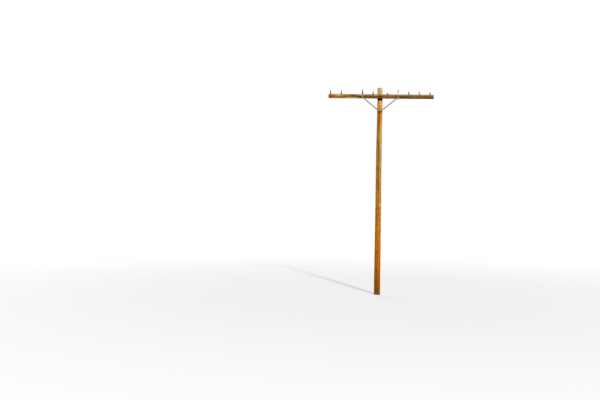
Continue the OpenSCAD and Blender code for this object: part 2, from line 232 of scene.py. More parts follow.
def drill(piece, bores):
    """Takes the bores, a list of skins, out of a piece's mesh by one exact cut."""
    tool = link("bores", mesh_of("bores", bores))
    cut = piece.modifiers.new("Bores", "BOOLEAN")
    cut.operation = "DIFFERENCE"
    cut.solver = "EXACT"
    cut.object = tool
    graph = bpy.context.evaluated_depsgraph_get()
    bored = bpy.data.meshes.new_from_object(piece.evaluated_get(graph), depsgraph=graph)
    whole = piece.data
    piece.modifiers.clear()
    piece.data = bored
    bored.name = piece.name
    bpy.data.meshes.remove(whole)
    bpy.data.objects.remove(tool)


def make(name, skins, material, nodes, marks, bores=(), sharp=40, slot=None):
    """A finished piece that rides on the frame and stands for its nodes. marks gives each named mark
    as an array, or is a function that works them out from the finished mesh's points. A slot name is
    worked out, the given one or else the material's name less the number that Blender puts after it,
    but nothing uses it."""
    piece = link(name, mesh_of(name, skins))
    if bores:
        drill(piece, bores)
    mesh = piece.data
    if callable(marks):
        points = np.empty(len(mesh.vertices) * 3)
        mesh.vertices.foreach_get("co", points)
        marks = marks(points.reshape(-1, 3))
    for key, values in marks.items():
        kind, part = ("FLOAT_VECTOR", "vector") if values.ndim == 2 else ("FLOAT", "value")
        mark = mesh.attributes.new(key, kind, "POINT")
        mark.data.foreach_set(part, values.ravel().astype(np.float32))
    mesh.materials.clear()
    mesh.materials.append(material)
    mesh.shade_smooth()
    mesh.set_sharp_from_angle(angle=math.radians(sharp))
    slot = slot or material.name.split(".")[0]
    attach(piece, "root")
    if nodes:
        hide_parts(*nodes)


# A radius or half side in mm that is too wide to play a part
FREE = 1000


def turned(stations, columns=48):
    """Grid in metres of a part along +Z, from stations in mm: a height, a round radius and, where the
    part is squared, half a square's side. At a turn its outline is at the lesser of the radius and
    half / max(|cos|, |sin|)."""
    rows = [(*station, FREE)[:3] for station in stations]
    height, radius, half = np.array(rows, dtype=float).T[..., None] * MM
    turn = round_turns(columns)
    reach = np.minimum(radius, half / np.maximum(np.abs(np.cos(turn)), np.abs(np.sin(turn))))
    return points_of(reach * np.cos(turn), reach * np.sin(turn), height)


def round_bar(low, high, radius):
    """Skin of a plain round bar, in mm."""
    return solid(turned([(low, radius), (high, radius)]))


FACING = {
    "front": np.array([[1, 0, 0], [0, 0, 1], [0, -1, 0]]),
    "back": np.array([[1, 0, 0], [0, 0, -1], [0, 1, 0]]),
    "down": np.array([[1, 0, 0], [0, -1, 0], [0, 0, -1]]),
}


def placed(skin, way, place):
    """A skin modelled along +Z, turned to face a way and moved to a place."""
    points, faces = skin
    return points @ FACING[way] + place, faces


# Materials

def tone(code):
    """Linear colour with alpha 1 of a hexadecimal colour, by the standard screen curve."""
    steps = np.array([int(code[k:k + 2], 16) for k in (0, 2, 4)]) / 255
    linear = np.where(steps <= 0.04045, steps / 12.92, ((steps + 0.055) / 1.055) ** 2.4)
    return (*linear.tolist(), 1.0)


class Recipe:
    """A node tree being written. Each call adds a node and gives back a socket that it puts out."""

    def __init__(self, tree):
        self.tree = tree

    def feed(self, socket, value):
        """Links a source to a socket, or sets its value unless that is None."""
        if isinstance(value, bpy.types.NodeSocket):
            self.tree.links.new(value, socket)
        elif value is not None:
            socket.default_value = value

    def add(self, kind, values=(), out=0, **settings):
        """A node of a kind, with its inputs by place or by name."""
        node = self.tree.nodes.new("ShaderNode" + kind)
        for key, value in settings.items():
            setattr(node, key, value)
        pairs = values.items() if isinstance(values, dict) else enumerate(values)
        for key, value in pairs:
            self.feed(node.inputs[key], value)
        return node.outputs[out]

    def math(self, operation, *values):
        """One sum of the Math node."""
        return self.add("Math", values, operation=operation)

    def times(self, one, other):
        """Product of two values."""
        return self.math("MULTIPLY", one, other)

    def weighed(self, total, *terms):
        """A value plus others, each with its weight."""
        for value, weight in terms:
            total = self.math("MULTIPLY_ADD", value, weight, total)
        return total

    def span(self, value, low, high, to_low=0.0, to_high=1.0):
        """A value eased from one range to another and held at its ends."""
        return self.add("MapRange", (value, low, high, to_low, to_high), interpolation_type="SMOOTHSTEP")

    def mix(self, share, below, above, mode="MIX"):
        """Two colours mixed by a share."""
        values = {0: share, 6: below, 7: above}
        return self.add("Mix", values, out=2, data_type="RGBA", blend_type=mode)

    def tint(self, colour, by):
        """A colour multiplied by another, or by a value."""
        return self.mix(1.0, colour, by, "MULTIPLY")

    def stretch(self, place, scale, shift=(0, 0, 0)):
        """A place scaled along each axis and shifted."""
        return self.add("Mapping", (place, shift, None, scale))

    def noise(self, place, scale=1.0, detail=2.0, rough=0.5, bend=0.0):
        """Noise over a place, from 0 to 1."""
        values = {"Vector": place, "Scale": scale, "Detail": detail, "Roughness": rough, "Distortion": bend}
        return self.add("TexNoise", values)

    def mark(self, name, vector=False):
        """A painted mark, as a value or a vector."""
        return self.add("Attribute", out=1 if vector else 2, attribute_name=name)

    def ramp(self, share, stops):
        """Colours along a share, from a list of places and hexadecimal colours."""
        out = self.add("ValToRGB", (share,))
        bar = out.node.color_ramp
        while len(bar.elements) < len(stops):
            bar.elements.new(0.5)
        for element, (place, code) in zip(bar.elements, stops):
            element.position = place
        for element, (place, code) in zip(bar.elements, stops):
            element.color = tone(code)
        return out

    def group(self, tree, **values):
        """The outputs of a group's node, with its inputs by name."""
        return self.add("Group", values, node_tree=tree).node.outputs

    def axis(self, vector, which):
        """One axis of a vector, by its letter."""
        return self.add("SeparateXYZ", (vector,), out="XYZ".index(which))


def new_group(name, takes, gives):
    """An empty node group, with the names of its inputs and of its outputs listed by their kind."""
    tree = bpy.data.node_groups.new(name, "ShaderNodeTree")
    for way, kinds in (("INPUT", takes), ("OUTPUT", gives)):
        for kind, keys in kinds.items():
            for key in keys:
                tree.interface.new_socket(key, in_out=way, socket_type="NodeSocket" + kind)
    given = tree.nodes.new("NodeGroupInput").outputs
    wanted = tree.nodes.new("NodeGroupOutput").inputs
    return tree, Recipe(tree), given, wanted


# Marks painted on every timber
PAINTED = ("Bleach", "Cavity", "Knot", "End", "Stain", "Grey")
RINGS_PER_M = 330


def weathered_timber():
    """Old softwood whose grain runs along the third axis of its Grain place: growth rings about the
    pith, golden and ruddy streaks, fine fibre, hairline checks, knots, end grain and open checks, with
    stains, painted shadows, and painted shade in the checks and hollows."""
    tree, r, given, wanted = new_group(
        "Weathered timber",
        {"Vector": ("Grain", "Pith"), "Color": ("Tone", "Bleached", "Dark", "Silver"), "Float": PAINTED},
        {"Color": ("Color",), "Float": ("Rough", "Height")}
    )

    def grained(across, along, detail, rough, shift=(0, 0, 0)):
        """Noise with its own scale across and along the grain."""
        return r.noise(r.stretch(given["Grain"], (across, across, along), shift), 1, detail, rough)

    broad = grained(24, 0.9, 3, 0.55)
    streak = grained(110, 2.4, 4, 0.6)
    fibre = grained(620, 14, 3, 0.65)
    line = grained(140, 1.5, 1.5, 0.5, (3, 7, 1))
    patch = grained(30, 3.5, 3, 0.6, (1, 2, 9))

    off_pith = r.add("VectorMath", (given["Grain"], given["Pith"]), operation="SUBTRACT")
    flat = r.add("VectorMath", (off_pith, (1, 1, 0)), operation="MULTIPLY")
    distance = r.add("VectorMath", (flat,), out=1, operation="LENGTH")
    wobble = grained(14, 1.2, 2.5, 0.5, (5, 5, 5))
    ring = r.math("FRACT", r.weighed(0.0, (distance, RINGS_PER_M), (wobble, 7)))
    late = r.times(r.span(ring, 0.35, 0.85), r.span(ring, 0.9, 1.0, 1.0, 0.0))

    near = r.math("ABSOLUTE", r.math("SUBTRACT", line, 0.5))
    hairline = r.times(r.span(near, 0.003, 0.02, 1.0, 0.0), r.span(patch, 0.42, 0.6))
    hairline = r.times(hairline, r.span(given["End"], 0.2, 0.8, 1.0, 0.0))

    bleach = r.weighed(given["Bleach"], (-1.0, 1.0), (patch, 1.1), (streak, 0.9))
    bleach = r.times(r.span(bleach, 0.1, 0.95), r.span(given["Bleach"], 0.0, 0.12))
    colour = r.mix(bleach, given["Tone"], given["Bleached"])
    warm = grained(46, 1.2, 3, 0.6, (2, 8, 4))
    colour = r.mix(r.span(warm, 0.44, 0.68, 0.0, 0.6), colour, r.tint(colour, (0.86, 0.68, 0.44, 1)))
    silvered = r.times(given["Grey"], r.span(streak, 0.3, 0.55, 0.7, 1.0))
    colour = r.mix(silvered, colour, given["Silver"])
    colour = r.tint(colour, r.span(broad, 0.3, 0.7, 0.88, 1.14))
    colour = r.tint(colour, r.span(streak, 0.28, 0.72, 0.8, 1.2))
    colour = r.tint(colour, r.span(fibre, 0.3, 0.7, 0.88, 1.14))
    colour = r.mix(r.times(late, r.weighed(0.26, (given["End"], 0.4))), colour, given["Dark"])
    colour = r.mix(r.times(hairline, 0.75), colour, given["Dark"])

    swirl = grained(60, 60, 3, 0.6, (4, 1, 6))
    knot_wave = r.math("SINE", r.weighed(0.0, (given["Knot"], 17), (swirl, 14)))
    knot = r.span(given["Knot"], 0.8, 1.15, 1.0, 0.0)
    knot_rings = r.times(knot, r.span(knot_wave, -0.8, 0.9, 0.42, 0.9))
    halo = r.span(given["Knot"], 1.0, 2.3, 0.3, 0.0)
    colour = r.mix(r.math("MAXIMUM", knot_rings, halo), colour, given["Dark"])

    # Stains and painted shadows darken towards a soiled tone, in clouds.
    cloud = r.span(grained(60, 9, 4, 0.6), 0.3, 0.62, 0.45, 1.0)
    soiled_and_shaded = r.tint(given["Tone"], (0.36, 0.27, 0.2, 1))
    colour = r.mix(r.times(given["Stain"], cloud), colour, soiled_and_shaded)
    # Painted shade in the checks and hollows, darker with their depth and near black at the deepest; on the
    # pole it also carries the painted shadow of the arm.
    cavity = r.span(given["Cavity"], 0.04, 0.6)
    colour = r.mix(cavity, colour, given["Dark"])
    colour = r.mix(cavity, colour, r.tint(given["Dark"], (0.25, 0.25, 0.28, 1)))

    r.feed(wanted["Color"], colour)
    r.feed(wanted["Rough"], r.span(streak, 0.3, 0.7, 0.78, 0.92))
    ridges = ((fibre, 0.6), (streak, 0.9), (late, 0.35), (hairline, -1.1), (knot_rings, 0.6))
    r.feed(wanted["Height"], r.weighed(0.0, *ridges))
    return tree


RUST_TONES = [(0.3, "20130d"), (0.45, "3c2216"), (0.56, "5c331b"), (0.68, "7d4c28")]


def rusting():
    """Rust that spreads from painted places: patches by noise, from dark to light browns, slightly
    raised."""
    tree, r, given, wanted = new_group(
        "Rusting", {"Vector": ("Place",), "Float": ("Amount",)},
        {"Color": ("Color",), "Float": ("Mask", "Height")}
    )
    coarse = r.noise(given["Place"], 70, 6, 0.62, 0.4)
    fine = r.noise(given["Place"], 420, 4, 0.6)
    spread = r.weighed(0.0, (given["Amount"], 0.8), (coarse, 0.9))
    r.feed(wanted["Mask"], r.span(spread, 0.62, 0.84))
    r.feed(wanted["Color"], r.ramp(r.weighed(0.0, (fine, 0.6), (coarse, 0.4)), RUST_TONES))
    r.feed(wanted["Height"], r.weighed(coarse, (fine, 0.6)))
    return tree


def recipe_of(owner):
    """The recipe of a material's or the world's own tree, emptied."""
    owner.use_nodes = True
    owner.node_tree.nodes.clear()
    return Recipe(owner.node_tree)


def new_material(name):
    """A material, and the recipe of its emptied tree."""
    material = bpy.data.materials.new(name)
    return material, recipe_of(material)


def put_out(r, shader, kind="Material"):
    """Ends a tree with the output node that its shader feeds."""
    out = r.tree.nodes.new("ShaderNodeOutput" + kind)
    r.tree.links.new(shader, out.inputs["Surface"])


def finish_surface(r, colour, rough, height, relief, more):
    """The surface shader, with a bump of the given relief in metres and more inputs by name."""
    normal = r.add("Bump", {"Strength": 1.0, "Distance": relief, "Height": height})
    values = {"Base Color": colour, "Roughness": rough, "Normal": normal, **more}
    put_out(r, r.add("BsdfPrincipled", values))


def timber(name, stops, bleached, along, low, high, dark, silver, pith):
    """A timber whose own and bleached tones follow one axis of Object coordinates between two places."""
    material, r = new_material(name)
    share = r.add("MapRange", (r.axis(r.add("TexCoord", out=3), along), low, high, 0.0, 1.0))
    own, pale = (
        r.ramp(share, [((at - low) / (high - low), code) for at, code in row]) for row in (stops, bleached)
    )
    out = r.group(
        TIMBER, Grain=r.mark("grain", vector=True), Tone=own, Bleached=pale, Dark=tone(dark),
        Silver=tone(silver), Pith=pith, **{key: r.mark(key.lower()) for key in PAINTED}
    )
    finish_surface(r, out["Color"], out["Rough"], out["Height"], 1.1 * MM, {"Specular IOR Level": 0.06})
    return material


LEAD_TONE, BLOOM_TONE = "4b5358", "cfc8b4"


def metal(name, clean, rust_amount, metallic):
    """Weathered metal: a spangled clean tone with painted lead and chalky bloom, which gives way to
    rust."""
    material, r = new_material(name)
    place = r.add("TexCoord", out=3)
    rust = r.group(RUST, Place=place, Amount=r.math("ADD", r.mark("rust"), rust_amount))
    cells = r.add("TexVoronoi", {"Vector": place, "Scale": 160.0}, out=1)
    spangle = r.span(r.axis(cells, "X"), 0.0, 1.0, 0.86, 1.1)
    cloud = r.span(r.noise(place, 35, 4, 0.6), 0.3, 0.7, 0.86, 1.1)
    bloom = r.times(r.mark("chalk"), r.span(r.noise(place, 90, 5, 0.65), 0.35, 0.6, 0.3, 1.0))
    base = r.mix(r.mark("lead"), tone(clean), tone(LEAD_TONE))
    base = r.mix(bloom, base, tone(BLOOM_TONE))
    colour = r.mix(rust["Mask"], r.tint(r.tint(base, spangle), cloud), rust["Color"])
    dull = r.span(rust["Mask"], 0.0, 1.0, 0.6, 0.9)
    bare = r.span(rust["Mask"], 0.0, 1.0, metallic, 0.0)
    finish_surface(r, colour, dull, r.times(rust["Height"], rust["Mask"]), 0.6 * MM, {"Metallic": bare})
    return material


TIMBER = weathered_timber()
RUST = rusting()

# Tones of the pole by height in m: the front's own, and the pale tone of its sun-bleached and painted-lit
# sides
POLE_TONES = [
    (0, "7e4c0c"), (0.3, "a66406"), (0.9, "c06e00"), (2.2, "c47808"), (2.75, "ce8410"), (3.1, "be7a18"),
    (3.6, "d0962e"), (4.1, "b47e2c"), (4.35, "ac782a"), (4.6, "c28c36"), (4.8, "9e5e0e"), (5.15, "b06408"),
    (5.4, "da7e1a"), (5.8, "da984a"), (5.956, "d69d56"),
]
POLE_BLEACHED_AND_LIT = [
    (0, "a47028"), (0.6, "bc7812"), (1.2, "d0861c"), (2.52, "d8963a"), (2.57, "f0b44e"), (2.6, "f0b44e"),
    (2.66, "d09238"), (3.2, "cca050"), (4.2, "d4a860"),
    (4.65, "e2b464"), (5.1, "dc9c44"), (5.45, "ecb466"), (5.7, "eac896"), (5.956, "e6cc9c"),
]
# How pale the pole's right and left side are made, by height in m: partly sun bleaching and partly painted
# light
RIGHT_PALE = [(0, 0.25), (1, 0.25), (1.6, 0.5), (1.9, 0.95), (5.3, 0.95), (5.45, 0.75), (5.96, 0.9)]
LEFT_PALE = [(0, 0.8), (0.8, 0.15), (2.7, 0.15), (3.6, 0.5), (4.4, 0.2), (5.0, 0.6), (5.3, 1.0)]
# Tones of the arm by its place along X in m
ARM_TONES = [
    (-1.486, "84501c"), (-1.34, "a26c28"), (-1.2, "ac782c"), (-1.05, "97691e"), (-0.85, "906410"),
    (-0.6, "7c5412"), (-0.3, "74521a"), (0, "805a24"), (0.27, "a2681c"), (0.45, "7c5a22"), (0.7, "7a501a"),
    (0.95, "8a6024"), (1.15, "80561a"), (1.524, "7a4e1a"),
]
ARM_BLEACHED = [(-1.486, "c49a5e"), (-1.2, "d8b272"), (-0.4, "ccb280"), (0.3, "c6b084"), (1.524, "c2aa7c")]
PIN_TONES = [(-1, "42301f"), (1, "42301f")]
PIN_BLEACHED = [(-1, "c29662"), (1, "c29662")]

pole_wood = timber("pole_wood", POLE_TONES, POLE_BLEACHED_AND_LIT, "Z", 0, POLE_H, "3a200c", "8e8878", (0, 0, 0))
arm_wood = timber(
    "arm_wood", ARM_TONES, ARM_BLEACHED, "X", ARM_LOW[0], ARM_HIGH[0], "2e1b0e", "6f7265", (0.09, -0.03, 0)
)
pin_wood = timber("pin_wood", PIN_TONES, PIN_BLEACHED, "X", -1, 1, "22160e", "5a564b", (0.004, 0.002, 0))
zinc = metal("galvanised_steel", "797868", 0.0, 0.25)
pale_zinc = metal("pale_zinc", "8e8a7a", 0.0, 0.25)
iron = metal("rusty_iron", "40342c", 0.45, 0.3)


# The pole's shaft

SHAFT_R = 84 * MM
POLE_SKIN = 2.3 * MM
ROOF_FROM = 5.82
# The pole's bow to the left: its depth, its height and its reach in m
BOW, BOW_Z, BOW_REACH = 7 * MM, 3.8, 0.9


def pole_radius(height):
    """Radius of the plain pole at a height, on a straight taper."""
    return POLE_GROUND_R + (POLE_TOP_R - POLE_GROUND_R) * height / POLE_H


def grain_turn(height):
    """Turn of the pole's grain from its straight line: a slow spiral with a slight wander."""
    wander = 0.018 * np.sin(1.7 * height + 0.4) + 0.008 * np.sin(4.3 * height + 2)
    return math.radians(2.0) * (height - 3) + wander


# Main drying checks of the pole: turn from the front in degrees, low and high end as shares of its
# height, and share of the full width and depth
POLE_CHECKS = [
    (-14, 0.488, 0.864, 1), (72, 0.16, 0.52, 0.7), (158, 0.4, 0.9, 0.85), (-62, 0.03, 0.26, 0.8),
    (44, 0.88, 1.16, 0.6), (-104, 0.82, 1.21, 0.7), (-148, 0.92, 1.11, 0.5), (24, 0.26, 0.46, 0.45),
    (40, 0.5, 0.73, 0.45), (104, 0.55, 0.84, 0.5), (128, 0.04, 0.32, 0.5), (-8, 0.02, 0.15, 0.4),
    (-44, 0.65, 0.87, 0.45), (-88, 0.38, 0.66, 0.5), (-120, 0.17, 0.49, 0.5), (-158, 0.1, 0.37, 0.45),
]
CHECK_W, CHECK_DEPTH = 12 * MM, 40 * MM
MINOR_W, MINOR_DEPTH = 4.2 * MM, 17 * MM
# Knots of the pole: turn in degrees, height in m, radius, collar's rise and heart's depth in mm
POLE_KNOTS = [
    (78, 4.47, 16, 0.6, 5), (84, 4.2, 15, 0.6, 5), (-28, 5.02, 13, 1.4, 1.2), (2, 3.63, 15, 1.6, 2.6),
    (-64, 3.35, 15, 1.6, 2), (8, 2.31, 14, 1.8, 1.4), (46, 1.86, 18, 2.0, 2.4), (-20, 1.22, 15, 1.6, 1.6),
    (136, 4.72, 19, 2.0, 2.2), (-136, 2.9, 17, 1.8, 2), (100, 1.5, 18, 2.0, 2.4), (176, 0.74, 16, 1.6, 1.8),
    (-110, 4.15, 17, 1.8, 2.4), (20, 5.86, 11, 1.0, 1.4), (178, 3.5, 15, 1.6, 1.5),
]
# Scars of the pole: turn in degrees, height in m, slant in degrees, length, width and depth in mm
POLE_SCARS = [(0, 2.49, 17, 70, 15, 4.5), (18, 2.135, 45, 92, 16, 5), (-24, 0.98, 12, 40, 8, 2.5)]
# Stains of the pole: place across its front and height in m, reach across and up, slant, strength
POLE_STAINS = [
    (-0.017, 3.64, 0.022, 0.04, 0, 1.0), (-0.015, 3.06, 0.02, 0.04, 0, 1.0),
    (-0.015, 3.42, 0.014, 0.12, 0, 0.45), (-0.034, 3.22, 0.016, 0.09, 0, 0.6),
    (0.0, 2.49, 0.035, 0.018, 0.3, 0.8), (0.026, 2.135, 0.034, 0.018, 1.0, 1.0),
    (0.0, 1.75, 0.022, 0.02, 0, 0.7), (0.018, 0.9, 0.035, 0.03, 0, 0.6), (0.014, 0.58, 0.009, 0.15, 0, 0.7),
    (-0.026, 0.55, 0.008, 0.3, 0, 0.5), (-0.01, 0.49, 0.025, 0.02, 0, 0.7), (-0.03, 0.36, 0.04, 0.06, 0, 0.6),
    (0.06, 0.5, 0.014, 0.08, 0, 0.6), (-0.03, 0.13, 0.018, 0.06, 0, 0.6), (0.03, 4.36, 0.01, 0.03, 0, 0.6),
    (-0.004, 5.19, 0.03, 0.06, 0, 0.45),
]
# Pale patches, and stains with painted shadow of the braces at the lag screw, that run round the pole:
# turn in radians and height in m, reach round and up, strength
PALE_PATCHES = [(0.35, 2.58, 0.3, 0.04, 0.9), (0.1, 1.0, 0.5, 0.014, 0.7)]
LAG_STAINS_AND_SHADOWS = [
    (0, LAG_Z + 0.006, 1.7, 0.017, 1.5), (0, LAG_Z - 0.038, 1.7, 0.035, 0.55),
    (-0.75, LAG_Z + 0.035, 0.25, 0.02, 0.5), (0.75, LAG_Z + 0.035, 0.25, 0.02, 0.5),
]


def pole_checks():
    """Every check of the pole as turn, low and high end, width and depth, with the turns of the main
    and of the minor ones. The main ones lie on lines of the grain, and two that are close share
    one. Small seeded ones fill those lines and others between them."""
    main_rails, minor_rails, checks = [], [], []
    for at, low, high, size in POLE_CHECKS:
        rail = math.radians(at) - grain_turn((low + min(high, 1)) / 2 * POLE_H)
        rail = next((r for r in main_rails if abs(r - rail) < 0.05), rail)
        main_rails.append(rail)
        checks.append((rail, low * POLE_H, high * POLE_H, CHECK_W * size, CHECK_DEPTH * size))
    main_rails = sorted(set(main_rails))
    draw = np.random.default_rng(11)
    for at in np.radians(np.arange(-176, 180, 9.5)):
        if np.abs(wrapped(at - np.array(main_rails))).min() > math.radians(7.5):
            minor_rails.append(at)
    for rail in main_rails + minor_rails:
        taken = [(row[1] - 0.1, row[2] + 0.1) for row in checks if row[0] == rail]
        low = draw.uniform(-0.2, 0.9)
        while low < 5.3:
            high = low + draw.uniform(0.35, 1.7)
            size = draw.uniform(0.3, 1.0) ** 1.5
            if all(high < start or low > end for start, end in taken):
                checks.append((rail, low, min(high, 6.4), MINOR_W * size, MINOR_DEPTH * size))
            low = high + draw.uniform(0.15, 1.2)
    return checks, main_rails, minor_rails


def pole_shaft():
    """The shaft, a radius over turn and height: the frame's cone less a skin, plus slow swells and
    knots, less V-shaped checks. It bows to the left by a bell curve and is held back at the notch and
    the two seats. Its top follows the two roof slopes, and rings drawn inwards close it."""
    checks, main_rails, rails = pole_checks()
    main_offsets = np.array([0, 1.1, 2.5, 4.2, 6.3]) * MM / SHAFT_R
    minor_offsets = np.array([0, 0.9, 2.1]) * MM / SHAFT_R
    plain = np.radians(np.arange(-180, 180, 2.9))
    plain = beside_rails(plain, rails, minor_offsets)
    columns = np.sort(wrapped(beside_rails(plain, main_rails, main_offsets)))

    edge, seat_half, washer_half = 0.3 * MM, 47.7 * MM, 29.3 * MM
    gain = (ARM_BOTTOM - NOTCH_GAP, ARM_TOP + NOTCH_GAP)
    lips = [*gain, LAG_Z - seat_half, LAG_Z + seat_half, ARM_Z - washer_half, ARM_Z + washer_half]
    exact = [at + way * edge for at in lips for way in (-1, 1)]
    dense = [(row[1], 0.034, 0.0085) for row in POLE_KNOTS + POLE_SCARS]
    heights = spaced(0, POLE_H, 0.028, dense, exact)
    base, up = np.meshgrid(columns, heights)
    turn = base + grain_turn(up)

    radius = pole_radius(up) - POLE_SKIN + 1.0 * MM * swell(turn, up, 3, (1, 4), 3.0)
    radius += 0.7 * MM * swell(turn, up, 4, (5, 13), 1.2)
    radius += 0.35 * MM * swell(base, up, 5, (20, 60), 0.9, 14)
    radius -= ease(0.42, 0.02, up) * MM * (2.2 + 2.0 * swell(turn, up, 6, (3, 12), 0.25))

    cut = np.zeros_like(up)
    for at, low, high, width, depth in checks:
        off = wrapped(base - at) * SHAFT_R
        cut = np.maximum(cut, check_cut(off, up, low, high, width, depth))
    knot = np.full_like(up, 4.0)
    pull = np.zeros_like(up)
    for at, height, size, rise, heart in POLE_KNOTS:
        off = wrapped(turn - math.radians(at)) * SHAFT_R
        far = np.hypot(off, 0.8 * (up - height)) / (size * MM)
        radius += MM * (rise * bell(1.15, 0.42, far) - heart * ease(0.95, 0.2, far))
        knot = np.minimum(knot, far)
        pull -= parted(off, up - height, 1.35 * size * MM)
    scar = np.zeros_like(up)
    for at, height, slant, length, width, depth in POLE_SCARS:
        off = wrapped(turn - math.radians(at)) * SHAFT_R
        c, s = math.cos(math.radians(slant)), math.sin(math.radians(slant))
        along = off * c + (up - height) * s
        across = (up - height) * c - off * s
        hollow = ease(0.5 * length * MM, 0.3 * length * MM, np.abs(along))
        hollow = hollow * ease(0.5 * width * MM, 0.1 * width * MM, np.abs(across))
        scar = np.maximum(scar, hollow)
        radius -= depth * MM * hollow
    radius -= cut

    x = radius * np.sin(turn) - BOW * bell(BOW_Z, BOW_REACH, up)
    y = -radius * np.cos(turn)
    in_gain = (up > gain[0]) & (up < gain[1])
    y = np.where(in_gain, np.maximum(y, ARM_BACK), y)
    y = np.where(np.abs(up - LAG_Z) < seat_half, np.maximum(y, BRACE_SEAT), y)
    at_washer = (np.abs(up - ARM_Z) < washer_half) & (np.abs(x) < washer_half)
    y = np.where(at_washer, np.minimum(y, BACK_SEAT), y)

    slope_top = POLE_H - 0.6 * MM - np.abs(y) * ROOF_RISE
    share = np.clip((up - ROOF_FROM) / (POLE_H - ROOF_FROM), 0, 1)
    z = up + share * (slope_top - 1.2 * MM - POLE_H)
    worn = 1 - 0.9 * MM * ease(0.97, 1.0, share) / SHAFT_R
    side = points_of(x * worn, y * worn, z)

    draw_in = np.array([0.975, 0.93, 0.87, 0.79, 0.7, 0.6, 0.5, 0.4, 0.3, 0.2, 0.1, 0.04])[:, None]
    top_x, top_y = draw_in * x[-1], draw_in * y[-1]
    rough_top = 1.1 * MM * (swell(turn[-1], draw_in, 8, (6, 40), 0.4, 16) - 1) * draw_in
    radial = 1.6 * MM * np.abs(swell(turn[-1], 0 * draw_in, 9, (9, 30), 1.0, 7)) ** 6 * draw_in
    top_z = POLE_H - 0.4 * MM - np.abs(top_y) * ROOF_RISE + rough_top - 3 * radial
    grid = np.concatenate([side, points_of(top_x, top_y, top_z)])

    def carried(values, top=None):
        """The side's values, with the last row repeated over the top, or a value of the top's own."""
        rows = np.repeat(values[-1:], len(draw_in), axis=0)
        return np.concatenate([values, rows if top is None else np.full_like(rows, top)])

    facing = wrapped(turn)

    def patches(rows):
        """Sum of soft patches, each a bell curve in height times one in turn."""
        return sum(force * bell(height, high, up) * bell(at, wide, facing)
                   for at, height, wide, high, force in rows)

    # The sides and the right of the top rim are made paler: partly sun bleaching and partly painted light.
    bleach = np.interp(up, *zip(*RIGHT_PALE)) * ease(-0.1, 0.55, facing)
    bleach += np.interp(up, *zip(*LEFT_PALE)) * ease(-0.15, -0.7, facing)
    bleach += patches(PALE_PATCHES) + 0.4 * bell(POLE_H, 0.03, up) * ease(0.1, 0.6, facing)
    bleach = bleach * (1 - 0.35 * ease(1.7, 2.8, np.abs(facing))) + 0.08
    streak_at = wrapped(turn + 0.1 + 0.13 * (5 - up) - 0.03 * np.sin(6 * up))
    streak = 0.08 + 0.9 * np.maximum(bell(5.0, 0.25, up), bell(3.18, 0.14, up))
    stain = 0.8 * streak * bell(0, 0.13, streak_at) * ease(2.95, 3.1, up) * ease(5.2, 5.15, up)
    stain += 0.55 * ease(0.6, 0.05, up) * mottled(turn, up, 22, (2, 9), 0.4)
    # Round the lag screw: stains and the painted shadow of the braces.
    stain += patches(LAG_STAINS_AND_SHADOWS) + 0.5 * scar
    for at, height, wide, high, slant, strength in POLE_STAINS:
        off = facing * SHAFT_R - at
        stain += strength * bell(0, wide, off) * bell(height, high, up - slant * off)
    # Painted shadow of the arm: a near-black band on the pole's front just below the arm, added to the
    # painted shade of the checks.
    painted_arm_shadow = ease(ARM_BOTTOM - 0.062, ARM_BOTTOM - 0.05, up) * ease(ARM_BOTTOM + 0.02, ARM_BOTTOM, up)
    painted_arm_shadow = painted_arm_shadow * ease(2.0, 1.4, np.abs(facing))
    cavity = np.clip(cut / (11 * MM) + 0.5 * painted_arm_shadow, 0, 1)
    from_pith = np.hypot(grid[..., 0], grid[..., 1])
    fibre = carried(base + pull / SHAFT_R)
    grain = points_of(from_pith * np.sin(fibre), -from_pith * np.cos(fibre), grid[..., 2])
    marks = tipped(
        grain=grain, cavity=carried(cavity), knot=carried(knot, 4.0), end=carried(0 * up, 1.0),
        bleach=carried(bleach, 0.75), stain=carried(np.clip(stain, 0, 1.4), 0.1)
    )
    make("pole_shaft", [solid(grid)], pole_wood, ["pole"], marks, sharp=38)


# The crossarm

ARM_SKIN = 0.6 * MM


def down_front(share):
    """Place in mm down the arm's front face of a share of its height above the middle."""
    return ((0.5 - share) * (ARM_TOP - ARM_BOTTOM) - ARM_BEVEL) / MM


# Drying checks of the arm: side, place along that side, from and to x in m, width and depth in mm
ARM_CHECKS = [
    ("front", down_front(0.12), 1.219, 2.05, 4.4, 18), ("front", down_front(-0.16), -2.1, -1.26, 4.4, 18),
    ("front", down_front(-0.2), 0.66, 1.118, 4, 18), ("front", down_front(0.2), -0.965, -0.584, 4, 18),
    ("front", 48, -0.52, 0.19, 2.2, 9), ("front", 88, -1.45, -0.7, 2.6, 10), ("front", 12, 0.3, 1.0, 2, 7),
    ("front", 79, 0.1, 0.5, 2, 8), ("front", down_front(0.12), -1.2, -0.1, 1.6, 6),
    ("front", 48, 0.55, 1.4, 1.6, 6),
    ("top", 18, -1.42, -0.5, 3, 12), ("top", 44, -0.35, 0.7, 2.6, 11), ("top", 30, 0.5, 1.9, 3.2, 14),
    ("top", 52, -2.0, -1.1, 3.4, 14), ("back", 30, -1.3, -0.2, 3, 12), ("back", 58, 0.2, 1.2, 3.4, 13),
    ("back", 76, -0.9, 0.4, 2.2, 9), ("back", 44, 0.8, 2.2, 3, 12), ("bottom", 28, -1.2, 0.1, 2.4, 9),
    ("bottom", 55, 0.2, 1.35, 2.6, 10),
]
# Knots through the arm from front to back: x and height above its middle in m, radius in mm
ARM_KNOTS = [(-1.185, -0.02, 12), (-0.33, 0.024, 9), (0.505, -0.018, 12), (0.99, 0.02, 10), (1.34, -0.03, 8)]
TOP_KNOTS = [(-0.62, 0.015, 10), (0.93, -0.012, 11), (0.02, 0.02, 8)]


def arm_slide(x):
    """Distance that the arm's grain has wandered across its faces at a place along it."""
    return 4.5 * MM * np.sin(1.9 * x + 0.6) + 1.6 * MM * np.sin(6.1 * x)


